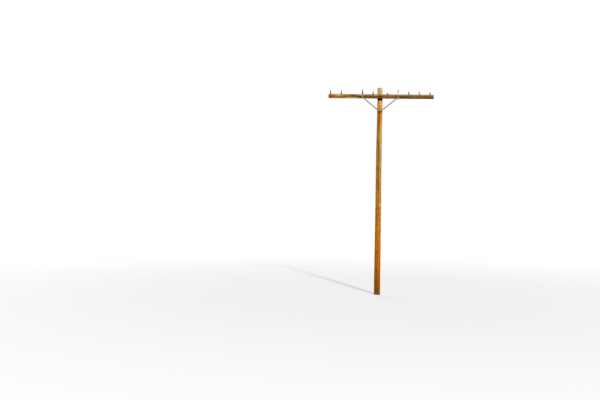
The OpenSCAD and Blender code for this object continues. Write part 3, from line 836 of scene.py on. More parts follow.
def arm_section():
    """Columns of the arm's outline, going round from the back of its top: place (y, z), outward
    direction, way along the side, share of the grain's slide, whether it is a corner, the side's
    number and the place along it. The sides' names come with them."""
    bevel = ARM_BEVEL
    corner = np.array([
        (ARM_BACK - bevel, ARM_TOP), (ARM_FRONT + bevel, ARM_TOP), (ARM_FRONT, ARM_TOP - bevel),
        (ARM_FRONT, ARM_BOTTOM), (ARM_BACK, ARM_BOTTOM), (ARM_BACK, ARM_TOP - bevel)
    ])
    names = ["top", "front_bevel", "front", "bottom", "back", "back_bevel"]
    ways = np.roll(corner, -1, axis=0) - corner
    lengths = np.linalg.norm(ways, axis=1)
    ways = ways / lengths[:, None]
    outs = np.stack([ways[:, 1], -ways[:, 0]], axis=-1)
    rows = []
    for k, name in enumerate(names):
        rails = sorted({row[1] * MM for row in ARM_CHECKS if row[0] == name})
        places = np.arange(5.5 * MM, lengths[k] - 4 * MM, 8 * MM)
        if rails:
            places = beside_rails(places, rails, np.array([0, 0.9, 2.2]) * MM)
        places = np.concatenate([[2.2 * MM], places[(places > 4 * MM) & (places < lengths[k] - 4 * MM)],
                                 [lengths[k] - 2.2 * MM]])
        window = ease(0, 16 * MM, places) * ease(0, 16 * MM, lengths[k] - places)
        spot = corner[k] + places[:, None] * ways[k]
        mitre = outs[k] + outs[k - 1]
        mitre = mitre / np.linalg.norm(mitre)
        rows.append([*corner[k], *mitre, 0, 0, 0, 1, k, 0])
        for at, place, share in zip(spot, places, window):
            rows.append([*at, *outs[k], *ways[k], share, 0, k, place])
    return np.array(rows).T, names


def near_fixings(x):
    """How near a place along the arm is to a pin, bolt or the pole, from 0 to 1."""
    fixings = [*PIN_X.values(), STEEL_PIN_X, -BRACE_BOLT_X, BRACE_BOLT_X]
    near = np.max([ease(51 * MM, 34 * MM, np.abs(x - at)) for at in fixings], axis=0)
    return np.maximum(near, ease(0.13, 0.1, np.abs(x)))


# Radii in mm of the arm's bores for the wood pins, for the through bolt and steel pin, and for the
# brace bolts, and half the side of the brace bolts' square necks in it
PIN_BORE, BOLT_BORE, BRACE_BORE, NECK_HALF = 15.875, 8.75, 5.5, 4.85


def crossarm():
    """The arm, its section carried along X: each column moves along its outward direction by the
    skin, the raised grain, the knots, the worn corners, the checks and the left end's decay. Rings
    drawn inwards close its ends, and its bores are cut through."""
    (y0, z0, out_y, out_z, way_y, way_z, share, is_corner, side, place), names = arm_section()
    dense = [(ARM_LOW[0], 0.05, 0.004), (ARM_HIGH[0], 0.02, 0.004)]
    x = spaced(ARM_LOW[0], ARM_HIGH[0], 0.0068, dense)[:, None] + 0 * y0
    turn = round_turns(len(y0)) + 0 * x
    free = 1 - near_fixings(x)
    from_left = x - ARM_LOW[0]
    decay = ease(0.11, 0, from_left) * (0.75 + 0.5 * swell(turn, x, 34, (2, 7), 0.1))
    out = -ARM_SKIN * (0.2 + 0.8 * free)
    out = out + free * 0.45 * MM * swell(turn, x, 31, (12, 34), 0.8, 14)
    out = out + free * 0.5 * MM * (swell(turn, x, 32, (1, 5), 0.9) - 0.6)
    upper = np.isin(side, [0, 1, 5])
    worn = (1.1 + 1.3 * upper * mottled(turn, x, 33, (0, 3), 0.35)) * MM
    out = out - is_corner * worn - decay * (2.2 + 4.2 * is_corner) * MM
    out = out - 1.2 * MM * ease(0.03, 0, ARM_HIGH[0] - x) * (0.4 + is_corner)
    out = out - 1.8 * MM * bell(EMPTY_HOLE_X, 0.03, x) * (side == 0)

    slide = share * arm_slide(x)
    cut = np.zeros_like(x)
    for name, at, low, high, width, depth in ARM_CHECKS:
        off = np.where(side == names.index(name), place - at * MM, 1.0)
        cut = np.maximum(cut, check_cut(off, x, low, high, width * MM, depth * MM))
    for at, above, size in ARM_KNOTS:
        far = np.hypot(x - at, z0 + way_z * slide - ARM_Z - above) / (size * MM)
        out = out + np.isin(side, [2, 4]) * MM * (0.9 * bell(1.1, 0.4, far) - 1.3 * ease(0.95, 0.2, far))
    out = out - cut
    y = y0 + way_y * slide + out_y * out
    z = z0 + way_z * slide + out_z * out
    ragged = 3.4 * MM * mottled(turn, 0 * x, 35, (2, 13), 1.0, 12)
    x = x + ragged * ease(0.012, 0, from_left) + 0.5 * MM * ease(0.004, 0, from_left)
    x = x - 0.6 * MM * ease(0.004, 0, ARM_HIGH[0] - x)
    grid = points_of(x, y, z)

    heart = np.array([0, ARM_MIDDLE_Y, ARM_Z])
    draw_in = np.array([0.965, 0.88, 0.76, 0.62, 0.47, 0.32, 0.17, 0.05])[:, None]

    def end_rings(row, depth, seed):
        """Rings from the section's row to its middle, sunk by a random relief."""
        ring = heart + draw_in[..., None] * (row - heart)
        relief = depth * mottled(turn[0] + 0 * draw_in, draw_in, seed, (1, 14), 0.5, 14)
        return points_of(row[:, 0].mean() + relief, ring[..., 1], ring[..., 2])

    left = end_rings(grid[0], 4.5 * MM, 41)[::-1]
    right = end_rings(grid[-1], -1.4 * MM, 42)
    grid = np.concatenate([left, grid, right])

    down = [(at, PIN_BORE) for at in (*PIN_X.values(), EMPTY_HOLE_X)] + [(STEEL_PIN_X, BOLT_BORE)]
    bores = [
        placed(round_bar(-20, 130, radius), "down", (at, ARM_MIDDLE_Y, ARM_TOP)) for at, radius in down
    ]
    bores.append(placed(round_bar(-20, 110, BOLT_BORE), "front", (0, ARM_BACK, ARM_Z)))
    neck = [(-20, FREE, NECK_HALF), (5.8, FREE, NECK_HALF), (5.9, BRACE_BORE), (110, BRACE_BORE)]
    for at in (-BRACE_BOLT_X, BRACE_BOLT_X):
        bores.append(placed(solid(turned(neck)), "front", (at, ARM_BACK, ARM_Z)))
    make("arm_timber", [solid(grid)], arm_wood, ["crossarm"], arm_marks, bores, 38)


# Stains painted on the arm, and painted shadow round the through bolt's washer: x, height above its
# middle, reach along and up, slant, strength
ARM_STAINS_AND_SHADOW = [
    (-0.78, 0.022, 0.1, 0.018, -0.22, 1.5), (-0.66, -0.012, 0.07, 0.023, -0.15, 1.3),
    (-0.56, -0.018, 0.05, 0.024, 0, 1.3), (-0.46, -0.012, 0.04, 0.022, 0, 0.9),
    # The first below, at the through bolt, is rust stain and painted shadow of its washer and nut.
    (0, -0.02, 0.045, 0.036, 0, 1.0), (0.49, 0, 0.05, 0.03, 0, 0.7), (0.65, -0.03, 0.12, 0.024, 0, 1.1),
    (0.66, -0.047, 0.12, 0.012, 0, 1.3), (0.93, 0.012, 0.04, 0.02, 0.2, 0.3),
    (-1.33, -0.01, 0.05, 0.018, 0, 0.35), (1.32, -0.03, 0.18, 0.02, 0, 0.6), (-1.46, 0, 0.03, 0.06, 0, 0.4),
    (-1.118, 0.04, 0.014, 0.02, 0, 0.6), (-0.25, 0.022, 0.07, 0.014, 0, 0.6),
    (0.31, 0.022, 0.1, 0.012, 0, 0.4), (-1.11, 0.018, 0.02, 0.016, 0, 0.4),
]
# Pale patches on the arm's front: x, reach along, heights at which they start and are full, strength
ARM_PALE = [
    (-0.53, 0.07, 0.01, 0.025, 0.5), (STEEL_PIN_X, 0.035, 0.02, 0.035, 0.6), (0.31, 0.025, 0, 0.03, 0.5),
    (-1.2, 0.1, -0.035, 0.02, 0.6), (0.96, 0.04, 0, 0.03, 0.3),
]


def arm_marks(points):
    """Marks of the arm from the points' places alone: the depth below its plain faces gives the
    painted shade of its hollows, the distance to its ends the end grain, and the stains, the painted
    shadow at the through bolt and the pale patches are painted."""
    x, y, z = points.T
    below = np.min([y - ARM_FRONT, ARM_BACK - y, ARM_TOP - z, z - ARM_BOTTOM], axis=0)
    from_end = np.minimum(x - ARM_LOW[0], ARM_HIGH[0] - x)
    end = ease(12 * MM, 8.5 * MM, from_end) * ease(0.5 * MM, 3 * MM, below)
    end = np.where(x > 0, ease(2.2 * MM, 1.4 * MM, from_end), end)
    # Painted shade in the hollows, by their depth below the plain faces.
    cavity = ease(1.5 * MM, 9 * MM, below) * (1 - end)
    bevelled = ease(0, 3 * MM, (z - ARM_TOP + ARM_BEVEL) - np.minimum(y - ARM_FRONT, ARM_BACK - y))
    cavity = cavity * (1 - bevelled)

    slid = arm_slide(x)
    on_face = ease(12 * MM, 2 * MM, np.minimum(y - ARM_FRONT, ARM_BACK - y))
    knot = np.full_like(x, 4.0)
    pull = np.zeros_like(x)
    for at, above, size in ARM_KNOTS:
        off = z - ARM_Z - above
        far = np.hypot(x - at, off) / (size * MM)
        knot = np.minimum(knot, np.where(on_face > 0.4, far, 4.0))
        pull -= parted(off, x - at, 1.3 * size * MM)
    for at, aside, size in TOP_KNOTS:
        far = np.hypot(x - at, y - ARM_MIDDLE_Y - aside) / (size * MM)
        knot = np.minimum(knot, np.where(z > ARM_TOP - 5 * MM, far, 4.0))
    grain = points_of(y - ARM_MIDDLE_Y, z - ARM_Z - slid + pull, x)

    up = z - ARM_Z
    front = ease(ARM_FRONT + 4 * MM, ARM_FRONT + 1 * MM, y)
    stain = np.zeros_like(x)
    for at, above, long, high, slant, strength in ARM_STAINS_AND_SHADOW:
        across = (up - above - slant * (x - at)) / high
        stain = np.maximum(stain, strength * np.exp(-((x - at) / long) ** 2 - across ** 2))
    lower = ease(-0.03, -0.048, up) * ease(0.35, 0.5, x)
    stain = np.maximum(stain, 0.6 * lower) * front
    for at in (*PIN_X.values(), STEEL_PIN_X):
        stain = np.maximum(stain, 0.2 * bell(at, 0.012, x) * ease(0.01, 0.05, up) * front)
    brown = 0.7 * bell(-0.54, 0.07, x) + 0.9 * bell(STEEL_PIN_X, 0.035, x)
    grey = ease(ARM_TOP - 24 * MM, ARM_TOP - 9 * MM, z) * (0.35 + 0.55 * ease(-1.02, -0.92, x))
    grey = np.where(z > ARM_TOP - 3 * MM, 0.6, grey * (1 - brown))
    bleach = 0.12 + 0.45 * ease(ARM_TOP - 50 * MM, ARM_TOP - 28 * MM, z) + 0.3 * end
    bleach += 0.75 * front * ease(-0.025, -0.045, up) * ease(-1.1, -1.0, x) * ease(-0.58, -0.66, x)
    for at, long, start, full, strength in ARM_PALE:
        bleach += strength * front * bell(at, long, x) * ease(start, full, up)
    return {"grain": grain, "cavity": cavity, "knot": knot, "end": end, "bleach": bleach,
            "stain": np.clip(stain, 0, 1.5), "grey": grey * (1 - end)}


def lifted_sliver():
    """A sliver that has sprung from the arm's top: an oval section carried along X on a line that
    rises with the power 1.7 of its length, thinned to nothing at its free end."""
    share = np.linspace(0, 1, 30)[:, None]
    turn = round_turns(20)
    wide = 8 * MM * (1 - share) ** 0.6 + 0.6 * MM
    thick = 2.6 * MM * (1 - share) ** 0.8 + 0.3 * MM
    edge = 1 + 0.18 * swell(turn, share, 44, (2, 7), 0.3)
    x = 0.262 + 0.066 * share + 0 * turn
    y = ARM_FRONT + 17 * MM + wide * edge * np.cos(turn) - 4 * MM * share
    z = ARM_TOP - 2.2 * MM + 17 * MM * share ** 1.7 + thick * edge * np.sin(turn)
    marks = tipped(
        grain=points_of(y, z, x), bleach=0 * x + 0.9, knot=0 * x + 4, end=ease(0.94, 1, share) + 0 * turn
    )
    make("lifted_sliver", [solid(points_of(x, y, z))], arm_wood, (), marks, sharp=50)


# Pins

SHANK_R = 15.775 * MM
SHOULDER_R = 23.8 * MM
SHOULDER_H = 10 * MM
TAPER_H = 50 * MM
TIP_R = 12.7 * MM
PIN_H = 116 * MM
SHANK_L = 96 * MM
THREAD_PITCH = 6.35 * MM
WASHER_ROOM = 2.6 * MM

# Each wood pin: height left (0 for a whole one) and rise in mm, turn of its splinter in degrees,
# then how pale its foot, its top and its left side are
WOOD_PINS = {
    1: (0, 0, 0, 0.45, 0.3, 0.1), 2: (0, 0, 0, 0.08, 0.15, 0.1), 4: (0, 30, 0, 0.05, 0.1, 0.0),
    5: (88, 0, 200, 0.2, 0.1, 0.1), 6: (57, 0, 20, 0.5, 0.15, 0.3), 8: (92, 0, 110, 0.85, 0.1, 0.3),
    9: (88, 0, 330, 1.0, 0.8, -0.3), 10: (74, 0, 160, 0.3, 0.0, 0.0),
}


def pin_radius(height):
    """Outline of a turned pin above its seat: straight shoulder, hollow taper, straight top."""
    share = np.clip((height - SHOULDER_H) / TAPER_H, 0, 1)
    return TIP_R + (SHOULDER_R - TIP_R) * (1 - share) ** 2


def snapped_height(x, y, left, spin, seed):
    """Height of a break: the lower of two slants that meet in a ridge, less fine random splinters."""
    out = x * math.cos(spin) + y * math.sin(spin) - TIP_R / 3
    slants = np.minimum(-math.tan(math.radians(52)) * out, math.tan(math.radians(24)) * out)
    turn, reach = np.arctan2(y, x), np.hypot(x, y)
    fine = swell(turn, reach, seed, (7, 19), 9 * MM, 12)
    fine = fine + 0.6 * swell(turn, reach, seed + 1, (18, 34), 4 * MM, 12)
    return left * MM + slants - 7 * MM * np.clip(0.3 + fine, 0, 1.3)


def wood_pin(n):
    """A turned wood pin: its outline taken round, with a worn thread at the top, drying splits and,
    where it has snapped, a splintered break."""
    left, rise, spin, foot_pale, top_pale, left_pale = WOOD_PINS[n]
    spin = math.radians(spin)
    turn = round_turns(72)
    shank = [(-SHANK_L, SHANK_R - 2 * MM), (2 * MM - SHANK_L, SHANK_R)]
    shank += [(at * MM, SHANK_R) for at in (-70, -50, -30, -20, -10, -4, -0.8)]
    shank += [(0, SHANK_R), (0, SHOULDER_R - 1.5 * MM), (0.4 * MM, SHOULDER_R - 0.4 * MM)]
    low, low_r = np.array(shank).T[..., None] + 0 * turn
    share = np.linspace(0.014, 1, 118)[:, None]
    rim = 12.9 * MM
    reach = np.full_like(turn, PIN_H)
    if left:
        reach = snapped_height(rim * np.cos(turn), rim * np.sin(turn), left, spin, n)
    high = share * reach
    radius = pin_radius(high) - 0.25 * MM
    tip = 0 if left else ease(PIN_H - 2.5 * MM, PIN_H, high)
    wave = 0.5 - 0.5 * np.cos(FULL_TURN * high / THREAD_PITCH - turn)
    threaded = ease(61 * MM, 66 * MM, high) * (0.75 + 0.25 * swell(turn, high, 50 + n, (1, 4), 0.03))
    radius = radius - 1.35 * MM * wave ** 1.3 * threaded - 2.2 * MM * tip
    radius = radius + 0.25 * MM * swell(turn, high, 60 + n, (4, 20), 0.08)
    split = np.zeros_like(radius)
    draw = np.random.default_rng(70 + n)
    for at in draw.uniform(-math.pi, math.pi, 3):
        start, length = draw.uniform(-10, 45) * MM, draw.uniform(40, 90) * MM
        off = wrapped(turn - at) * TIP_R
        split = np.maximum(split, check_cut(off, high, start, start + length, 2.6 * MM, 4 * MM))
    r = np.concatenate([low_r, radius - split])
    side = points_of(r * np.cos(turn), r * np.sin(turn), np.concatenate([low, high]))
    draw_in = np.array([0.94, 0.84, 0.72, 0.6, 0.48, 0.36, 0.24, 0.12, 0.04])[:, None]
    top_x, top_y = draw_in * side[-1, :, 0], draw_in * side[-1, :, 1]
    if left:
        top_z = snapped_height(top_x, top_y, left, spin, n)
    else:
        top_z = PIN_H - 0.9 * MM * mottled(turn + 0 * top_x, draw_in, 80 + n, (3, 20), 0.6)
    grid = np.concatenate([side, points_of(top_x, top_y, top_z)])

    rings = len(draw_in)
    height = grid[..., 2]
    pale = np.interp(height, [0, 0.024, 0.05, PIN_H], [foot_pale, foot_pale, top_pale, top_pale])
    pale = np.clip(pale + left_pale * np.clip(-np.cos(turn), 0, 1), 0.02, 1)
    stain = 0.3 * ease(0.008, 0, np.abs(height)) + 0.9 * (1 - foot_pale) * bell(0.042, 0.013, height)
    if left:
        stain = stain + 0.15 * ease(0.012, 0, reach - height)
    # The splits' depth gives the painted shade in them.
    marks = tipped(
        grain=grid + np.array([0, 0, 0.9 * n]), cavity=np.pad(split / (3 * MM), ((len(low), rings), (0, 0))),
        knot=0 * height + 4, end=np.pad(0 * r, ((0, rings), (0, 0)), constant_values=0.2 if left else 1.0),
        bleach=pale, grey=0.85 * (1 - top_pale) * ease(0.025, 0.06, height), stain=stain
    )
    points, faces = solid(grid)
    seat = np.array([PIN_X[n], ARM_MIDDLE_Y, ARM_TOP + rise * MM])
    make(f"wood_pin_{n}", [(points + seat, faces)], pin_wood, [f"pin_{n}"], marks, sharp=50)


# Ironwork, with its measures in mm

def rusted(amount):
    """Marks of an iron piece: the same rust all over it."""
    return lambda points: {"rust": np.full(len(points), amount)}


def pin_nails():
    """The nails that hold the wood pins: a low domed head on the arm's front below each pin."""
    dome = solid(turned([(-6, 1.6), (0, 1.6), (0, 3.6), (0.8, 3.5), (1.3, 2)], 16))
    heads = []
    for k, at in enumerate(PIN_X.values()):
        place = (at + (1.5 + k % 3) * MM, ARM_FRONT + 1.4 * MM, ARM_TOP - (27 + 2 * (k % 4)) * MM)
        heads.append(placed(dome, "front", place))
    make("pin_nails", heads, iron, (), rusted(0.4))


def helix(grid, low, high, pitch, depth):
    """A grid with a V thread cut into it between two heights: each point's radius shrinks by the
    depth times a triangle wave of its height over the pitch, less its turn."""
    low, high, pitch, depth = (value * MM for value in (low, high, pitch, depth))
    x, y, z = np.moveaxis(grid, -1, 0)
    wave = np.abs(((z / pitch - np.arctan2(y, x) / FULL_TURN) % 1) * 2 - 1)
    share = ease(low, low + pitch, z) * ease(high, high - 0.5 * pitch, z)
    shrink = 1 - depth * wave * share / np.maximum(np.hypot(x, y), 1e-6)
    return points_of(x * shrink, y * shrink, z)


def bar_stations(low, high, radius, step):
    """Stations of a straight bar, close enough together to carry a thread."""
    return [(z, radius) for z in np.arange(low, high, step)]


def square_head(width, height):
    """Stations of a square head or nut blank with its outer corners turned off at 30 degrees."""
    half = width / 2
    fall = math.tan(math.radians(30))
    rise = np.linspace(0, 0.2071 * width * fall, 5)
    top = [(height - d, half + d / fall, half - 0.15) for d in rise[::-1]]
    return [(0, FREE, half - 0.7), (0.25, FREE, half - 0.4), (0.6, FREE, half - 0.15), *top]


def square_nut(width, height, bore):
    """A square nut: the blank's stations outside, and back down through a bore with eased lips."""
    inner = [(height, bore + 1.2), (height - 1, bore), (1, bore)]
    return solid(turned([(0, bore + 1), *square_head(width, height), *inner], 64), joined=True)


def ring_plate(radius, thick, bore, half=FREE):
    """A flat washer with eased edges, round unless half a square's side is given."""
    soft = 0.5
    outer = [(0, radius - soft, half - soft), (soft, radius, half), (thick - soft, radius, half)]
    inner = [(thick, radius - soft, half - soft), (thick, bore), (0, bore)]
    return solid(turned(outer + inner, 64), joined=True)


def fixing(name, node, skin, way, place, rust=0.3, material=iron):
    """A washer or nut that faces a way at a place, with the same rust all over it."""
    make(name, [placed(skin, way, place)], material, [node], rusted(rust))


def bolt(name, node, head, shank, thread, way, place, rust):
    """A bolt or screw: from the place where it bears its head faces a way, and its shank, with a
    thread as helix takes it, runs the other way."""
    other = "front" if way == "back" else "back"
    shank = solid(helix(turned(shank), *thread))
    make(name, [placed(head, way, place), placed(shank, other, place)], iron, [node], rusted(rust))


def through_bolt():
    """The arm bolt: square head at the back, shank and threaded end at the front."""
    low, high = corners("arm_bolt")
    width, head, radius, threads = 25.44, 10.65, 7.95, 60
    bearing = high[1] - head * MM
    length = (bearing - low[1]) / MM
    shank = [(0, radius), (20, radius), (length - threads, radius)]
    shank += bar_stations(length - threads + 0.4, length - 1.6, radius, 0.4)
    shank += [(length - 1.5, 7.9), (length, 6.4), (length, 2)]
    square = solid(turned([(0, 4), *square_head(width, head), (head, 5)], 64))
    thread = (length - threads, length, 2.31, 1.2)
    bolt("through_bolt", "arm_bolt", square, shank, thread, "back", (0, bearing, ARM_Z), 0.35)


def carriage_bolt(side, at):
    """A domed head behind the arm, a square neck in the wood and a threaded end past the nut."""
    node = f"brace_bolt_{side}"
    low, high = corners(node)
    length = (ARM_BACK - low[1]) / MM
    head_r, head_h, radius, threads = 10.45, (high[1] - ARM_BACK) / MM, 4.75, 28
    ball = (head_r ** 2 + head_h ** 2) / (2 * head_h)
    rise = np.linspace(0, 0.98, 8) * head_h
    dome = [(0, 4)] + [(h, math.sqrt(ball ** 2 - (ball - head_h + h) ** 2)) for h in rise]
    shank = [(0, FREE, radius), (5.6, FREE, radius), (5.7, radius), (length - threads, radius)]
    shank += bar_stations(length - threads + 1, length - 1.2, radius, 0.28)
    shank += [(length - 1, 4.7), (length, 3.8), (length, 1)]
    thread = (length - threads, length, 1.59, 0.8)
    place = (at, ARM_BACK, ARM_Z)
    bolt(f"carriage_bolt_{side}", node, solid(turned(dome)), shank, thread, "back", place, 0.3)


def lag_screw():
    """The braces' lower screw: a square head in front, and a coarse thread and point in the pole."""
    low, high = corners("brace_lag_screw")
    width, head, radius, point = 19.05, 8.5, 6.35, 13
    under = low[1] + head * MM
    length = (high[1] - under) / MM
    shank = [(0, radius), (length * 0.35, radius)]
    shank += bar_stations(length * 0.36, length - point, radius, 0.7)
    shank += [(length - point * (1 - t), radius - 5.2 * t) for t in np.linspace(0, 1, 16)]
    square = solid(turned([(0, 3), *square_head(width, head), (head, 4)], 64))
    thread = (length * 0.36, length, 4.2, 1.1)
    bolt("lag_screw", "brace_lag_screw", square, shank, thread, "front", (0, under, LAG_Z), 0.4)


def brace(side, way, seat):
    """A flat brace: a rounded oblong section carried along a path that lies on the pole, slants out
    to the arm and lies on it. The path's offset is two soft ramps, and the width closes to a half
    circle at each end."""
    spread, drop = BRACE_BOLT_X, ARM_Z - LAG_Z
    length = math.hypot(spread, drop)
    cosine, sine = spread / length, drop / length
    foot_end = BRACE_W
    head_start = length - (ARM_HIGH[2] - ARM_Z + BRACE_W * cosine / 2) / sine - BRACE_T
    low_y, high_y = seat - BRACE_T / 2, ARM_FRONT - BRACE_T / 2
    grade = (high_y - low_y) / (head_start - foot_end)
    half = BRACE_W / 2 - 0.15 * MM
    overhang = 22 * MM
    bend = half * np.sin(np.linspace(0, 1, 12) * math.pi / 2) * 0.998
    arc = overhang - BRACE_W / 2
    dense = [(at, 0.03, 0.003) for at in (foot_end, head_start)]
    body = spaced(-arc + 2 * MM, length + arc - 2 * MM, 0.012, dense)
    along = np.concatenate([-arc - bend[::-1], body, length + arc + bend])[:, None]
    soft = 9 * MM

    def ramp(at):
        """A soft ramp from a place on, and its slope: the mean of t and the root of t^2 + soft^2."""
        past = along - at
        root = np.sqrt(past ** 2 + soft ** 2)
        return np.array([(past + root) / 2, (1 + past / root) / 2])

    path, incline = grade * (ramp(foot_end) - ramp(head_start))
    past = np.maximum(-arc - along, along - length - arc)
    width = np.sqrt(np.clip(1 - (np.clip(past, 0, None) / half) ** 2, 0.0008, 1))

    turn = round_turns(40)
    corner = 1.3 * MM
    flat_w = np.clip(np.cos(turn) * 1.9, -1, 1) * (half - corner) + corner * np.cos(turn)
    flat_t = np.clip(np.sin(turn) * 1.9, -1, 1) * (BRACE_T / 2 - corner) + corner * np.sin(turn)
    offset = flat_t + 0.12 * MM * swell(turn, along, 90, (1, 5), 0.12) * np.sign(flat_t)
    normal = np.sqrt(1 + incline ** 2)
    run = along - offset * incline / normal
    x = way * (run * cosine - width * flat_w * sine)
    z = LAG_Z + run * sine + width * flat_w * cosine
    grid = points_of(x, low_y + path + offset / normal, z)
    bores = [
        placed(round_bar(-20, 40, 5.45), "front", (way * spread, ARM_FRONT, ARM_Z)),
        placed(round_bar(-30, 40, 7.05), "front", (0, seat, LAG_Z)),
    ]

    def rust_marks(points):
        """Rust near the two bolts, under the washers and in spots along the brace."""
        px, _, pz = points.T
        from_lag = np.hypot(px, pz - LAG_Z)
        from_bolt = np.hypot(px - way * spread, pz - ARM_Z)
        spots = 0.14 * (swell(from_lag * 2, from_lag, 91, (0, 2), 0.16) - 0.3)
        near = 0.62 * bell(0, 0.021, from_bolt) + 0.7 * bell(0, 0.034, from_lag)
        return {"rust": near + np.clip(spots, 0, 1)}

    make(f"brace_bar_{side}", [solid(grid)], zinc, [f"brace_{side}"], rust_marks, bores)


def steel_pin():
    """The steel pin: flange, forged collar and waist, tapered neck, and a soft-metal sleeve with a
    worn thread, all one outline taken round."""
    low, high = corners("steel_pin_7")
    foot, top = (ARM_TOP - low[2]) / MM, (high[2] - ARM_TOP) / MM
    grid = turned([
        (-foot, 6.6), (1.4 - foot, 7.9), *bar_stations(2.0 - foot, 26 - foot, 7.9, 0.4), (27 - foot, 7.9),
        (-40, 7.9), (-0.1, 7.9), (0, 8.4), (0, 24.2), (0.7, 24.9), (4.2, 24.9), (4.9, 24.2), (5, 17.6),
        (5.8, 16.4), (8, 15.8), (16, 15.7), (19, 14.6), (23, 12.6), (27, 11.0), (33, 10.4), (50, 9.6),
        (70, 8.8), (90, 8.0), (93.8, 7.9), (94, 11.9), (94.8, 12.5), *bar_stations(95.5, 132, 12.55, 0.7),
        (133.5, 12.4), (135.6, 11.6), (137.2, 10.2), (top - 0.1, 8.4), (top - 0.1, 3),
    ], 56)
    grid = helix(grid, 1 - foot, 26 - foot, 2.31, 1.1)
    grid = helix(grid, 99, 131, THREAD_PITCH / MM, 1.3)
    points, faces = solid(grid)
    z = points[:, 2]
    rust = 0.25 * bell(0, 0.006, z) + 0.3 * bell(0.094, 0.003, z) + 0.35 * ease(-0.09, -0.1, z)
    chalk = ease(0.05, 0.02, z) * ease(-0.01, 0, z)
    marks = {"rust": rust, "chalk": chalk, "lead": ease(0.086, 0.094, z)}
    skin = (points + np.array([STEEL_PIN_X, ARM_MIDDLE_Y, ARM_TOP]), faces)
    make("steel_pin", [skin], pale_zinc, ["steel_pin_7"], marks, slot="galvanised_steel")


# Washers in mm: outer radius, thickness, bore's radius and, for the square ones, half the side
SQUARE_WASHER, BRACE_WASHER = (38.6, 4.7, 8.65, 28.3), (12.3, 2.5, 5.5)
LAG_WASHER, STEEL_PIN_WASHER = (16.4, 2.5, 7.1), (20.6, 2.5, 8.7)
# Square nuts in mm: width, height and bore's radius
ARM_NUT, BRACE_NUT, STEEL_PIN_NUT = (25.3, 13.8, 8.0), (15.1, 8.25, 4.8), (25.3, 13.75, 8.0)


def ironwork():
    """Every bolt, nut, washer and screw of the pole, each where the frame has it."""
    through_bolt()
    plate = ring_plate(*SQUARE_WASHER)
    for end, seat in (("front", corners("arm_washer_front")[1][1]), ("back", BACK_SEAT)):
        fixing(f"square_washer_{end}", f"arm_washer_{end}", plate, end, (0, seat, ARM_Z), 0.28)
    place = (0, corners("arm_bolt_nut")[1][1], ARM_Z)
    fixing("through_bolt_nut", "arm_bolt_nut", square_nut(*ARM_NUT), "front", place, 0.35)
    plate, nut = ring_plate(*BRACE_WASHER), square_nut(*BRACE_NUT)
    face = ARM_FRONT - BRACE_T
    for side, at in (("left", -BRACE_BOLT_X), ("right", BRACE_BOLT_X)):
        carriage_bolt(side, at)
        place = np.array([at, face, ARM_Z])
        fixing(f"brace_washer_plate_{side}", f"brace_washer_{side}", plate, "front", place, 0.45, zinc)
        fixing(f"brace_bolt_nut_{side}", f"brace_nut_{side}", nut, "front", place - (0, WASHER_ROOM, 0))
    lag_screw()
    place = (0, corners("lag_washer")[1][1], LAG_Z)
    fixing("lag_washer_plate", "lag_washer", ring_plate(*LAG_WASHER), "front", place, 0.4, zinc)
    steel_pin()
    plate, nut = ring_plate(*STEEL_PIN_WASHER), square_nut(*STEEL_PIN_NUT)
    place = np.array([STEEL_PIN_X, ARM_MIDDLE_Y, ARM_BOTTOM])
    fixing("steel_pin_washer_plate", "steel_pin_washer", plate, "down", place, 0.3, zinc)
    fixing("steel_pin_square_nut", "steel_pin_nut", nut, "down", place - (0, 0, WASHER_ROOM))


# Floor, light and camera

def shine(name, energy, softness, toward):
    """A far lamp in the given direction, with its softness as an angle in degrees."""
    lamp = bpy.data.lights.new(name, "SUN")
    lamp.energy = energy
    lamp.angle = math.radians(softness)
    link(name, lamp).rotation_euler = Vector(toward).to_track_quat("Z", "Y").to_euler()


def seen_mask(r):
    """1 for what the camera sees straight, in a reflection or through a surface, and 0 for the rest."""
    straight, mirrored, through = (r.add("LightPath", out=k) for k in (0, 3, 6))
    return r.math("MAXIMUM", r.math("MAXIMUM", straight, mirrored), through)


WHITE = (1, 1, 1, 1)
FILL = 0.36


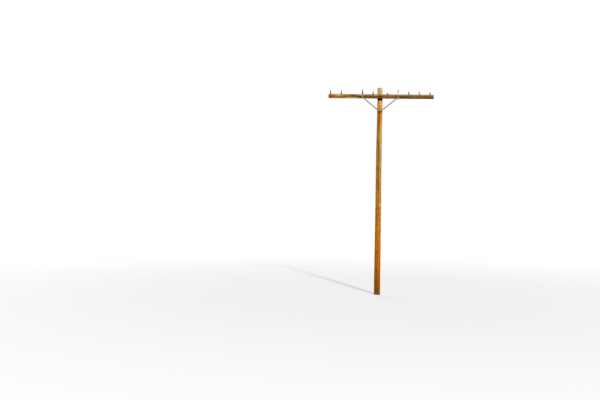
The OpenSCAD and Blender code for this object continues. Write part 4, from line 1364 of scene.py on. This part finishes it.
def studio():
    """A wide pale floor that fades to the white behind it, a lamp from the right and in front, a
    weaker and softer one from behind on the left, and an even white fill."""
    material, r = new_material("pale_floor")
    away = r.add("VectorMath", (r.add("TexCoord", out=3),), out=1, operation="LENGTH")
    seen = seen_mask(r)
    fade = r.times(r.span(away, 3.0, 17.0, 0.4, 1.0), seen)
    near = r.add("BsdfDiffuse", {"Color": r.mix(seen, tone("8a8378"), tone("e9e8e5"))})
    far = r.add("Emission", {"Color": WHITE, "Strength": 1.0})
    put_out(r, r.add("MixShader", (fade, near, far)))

    turn = round_turns(96)
    reach = np.array([0.5, 2, 5, 12, 30, 90])[:, None]
    grid = points_of(reach * np.cos(turn), reach * np.sin(turn), 0)
    ids = np.arange(reach.size * turn.size).reshape(-1, turn.size)
    mesh = bpy.data.meshes.new("floor")
    mesh.from_pydata(grid.reshape(-1, 3), [], strips(ids[1:], ids[:-1]) + [ids[0].tolist()])
    mesh.materials.append(material)
    floor = link("floor", mesh)

    world = bpy.data.worlds.new("studio")
    bpy.context.scene.world = world
    r = recipe_of(world)
    fill, backdrop = (r.add("Background", {"Color": WHITE, "Strength": power}) for power in (FILL, 1.0))
    put_out(r, r.add("MixShader", (seen_mask(r), fill, backdrop)), "World")

    shine("key", 3.0, 4, (0.29, -0.82, 0.49))
    shine("back_fill", 1.0, 40, (-0.35, 0.8, 0.5))


# The camera's place in m, its yaw, pitch and roll in degrees, and its lens and film in mm
EYE, AIM = (-1.197, -23.155, 2.722), (2.637, -0.074, 0.89)
LENS, FILM = 48, 36


def camera():
    """The viewpoint solved from the photograph: a 48 mm lens 23 m off, rolled by the pole's lean."""
    yaw, pitch, roll = (math.radians(angle) for angle in AIM)
    ahead = Vector((-math.sin(yaw) * math.cos(pitch), math.cos(yaw) * math.cos(pitch), math.sin(pitch)))
    right = Vector((math.cos(yaw), math.sin(yaw), 0))
    up = right.cross(ahead)
    rolled_right = right * math.cos(roll) + up * math.sin(roll)
    rolled_up = up * math.cos(roll) - right * math.sin(roll)
    lens = bpy.data.cameras.new("view")
    lens.lens = LENS
    lens.sensor_width = FILM
    lens.clip_end = 400
    eye = link("view", lens)
    axes = Matrix((rolled_right, rolled_up, -ahead)).transposed()
    eye.matrix_world = Matrix.Translation(EYE) @ axes.to_4x4()
    bpy.context.scene.camera = eye


camera()
studio()
pole_shaft()
crossarm()
lifted_sliver()
for number in WOOD_PINS:
    wood_pin(number)
pin_nails()
brace("left", -1, BRACE_SEAT)
brace("right", 1, BRACE_SEAT - BRACE_T)
ironwork()

bpy.context.scene.view_settings.view_transform = "Standard"
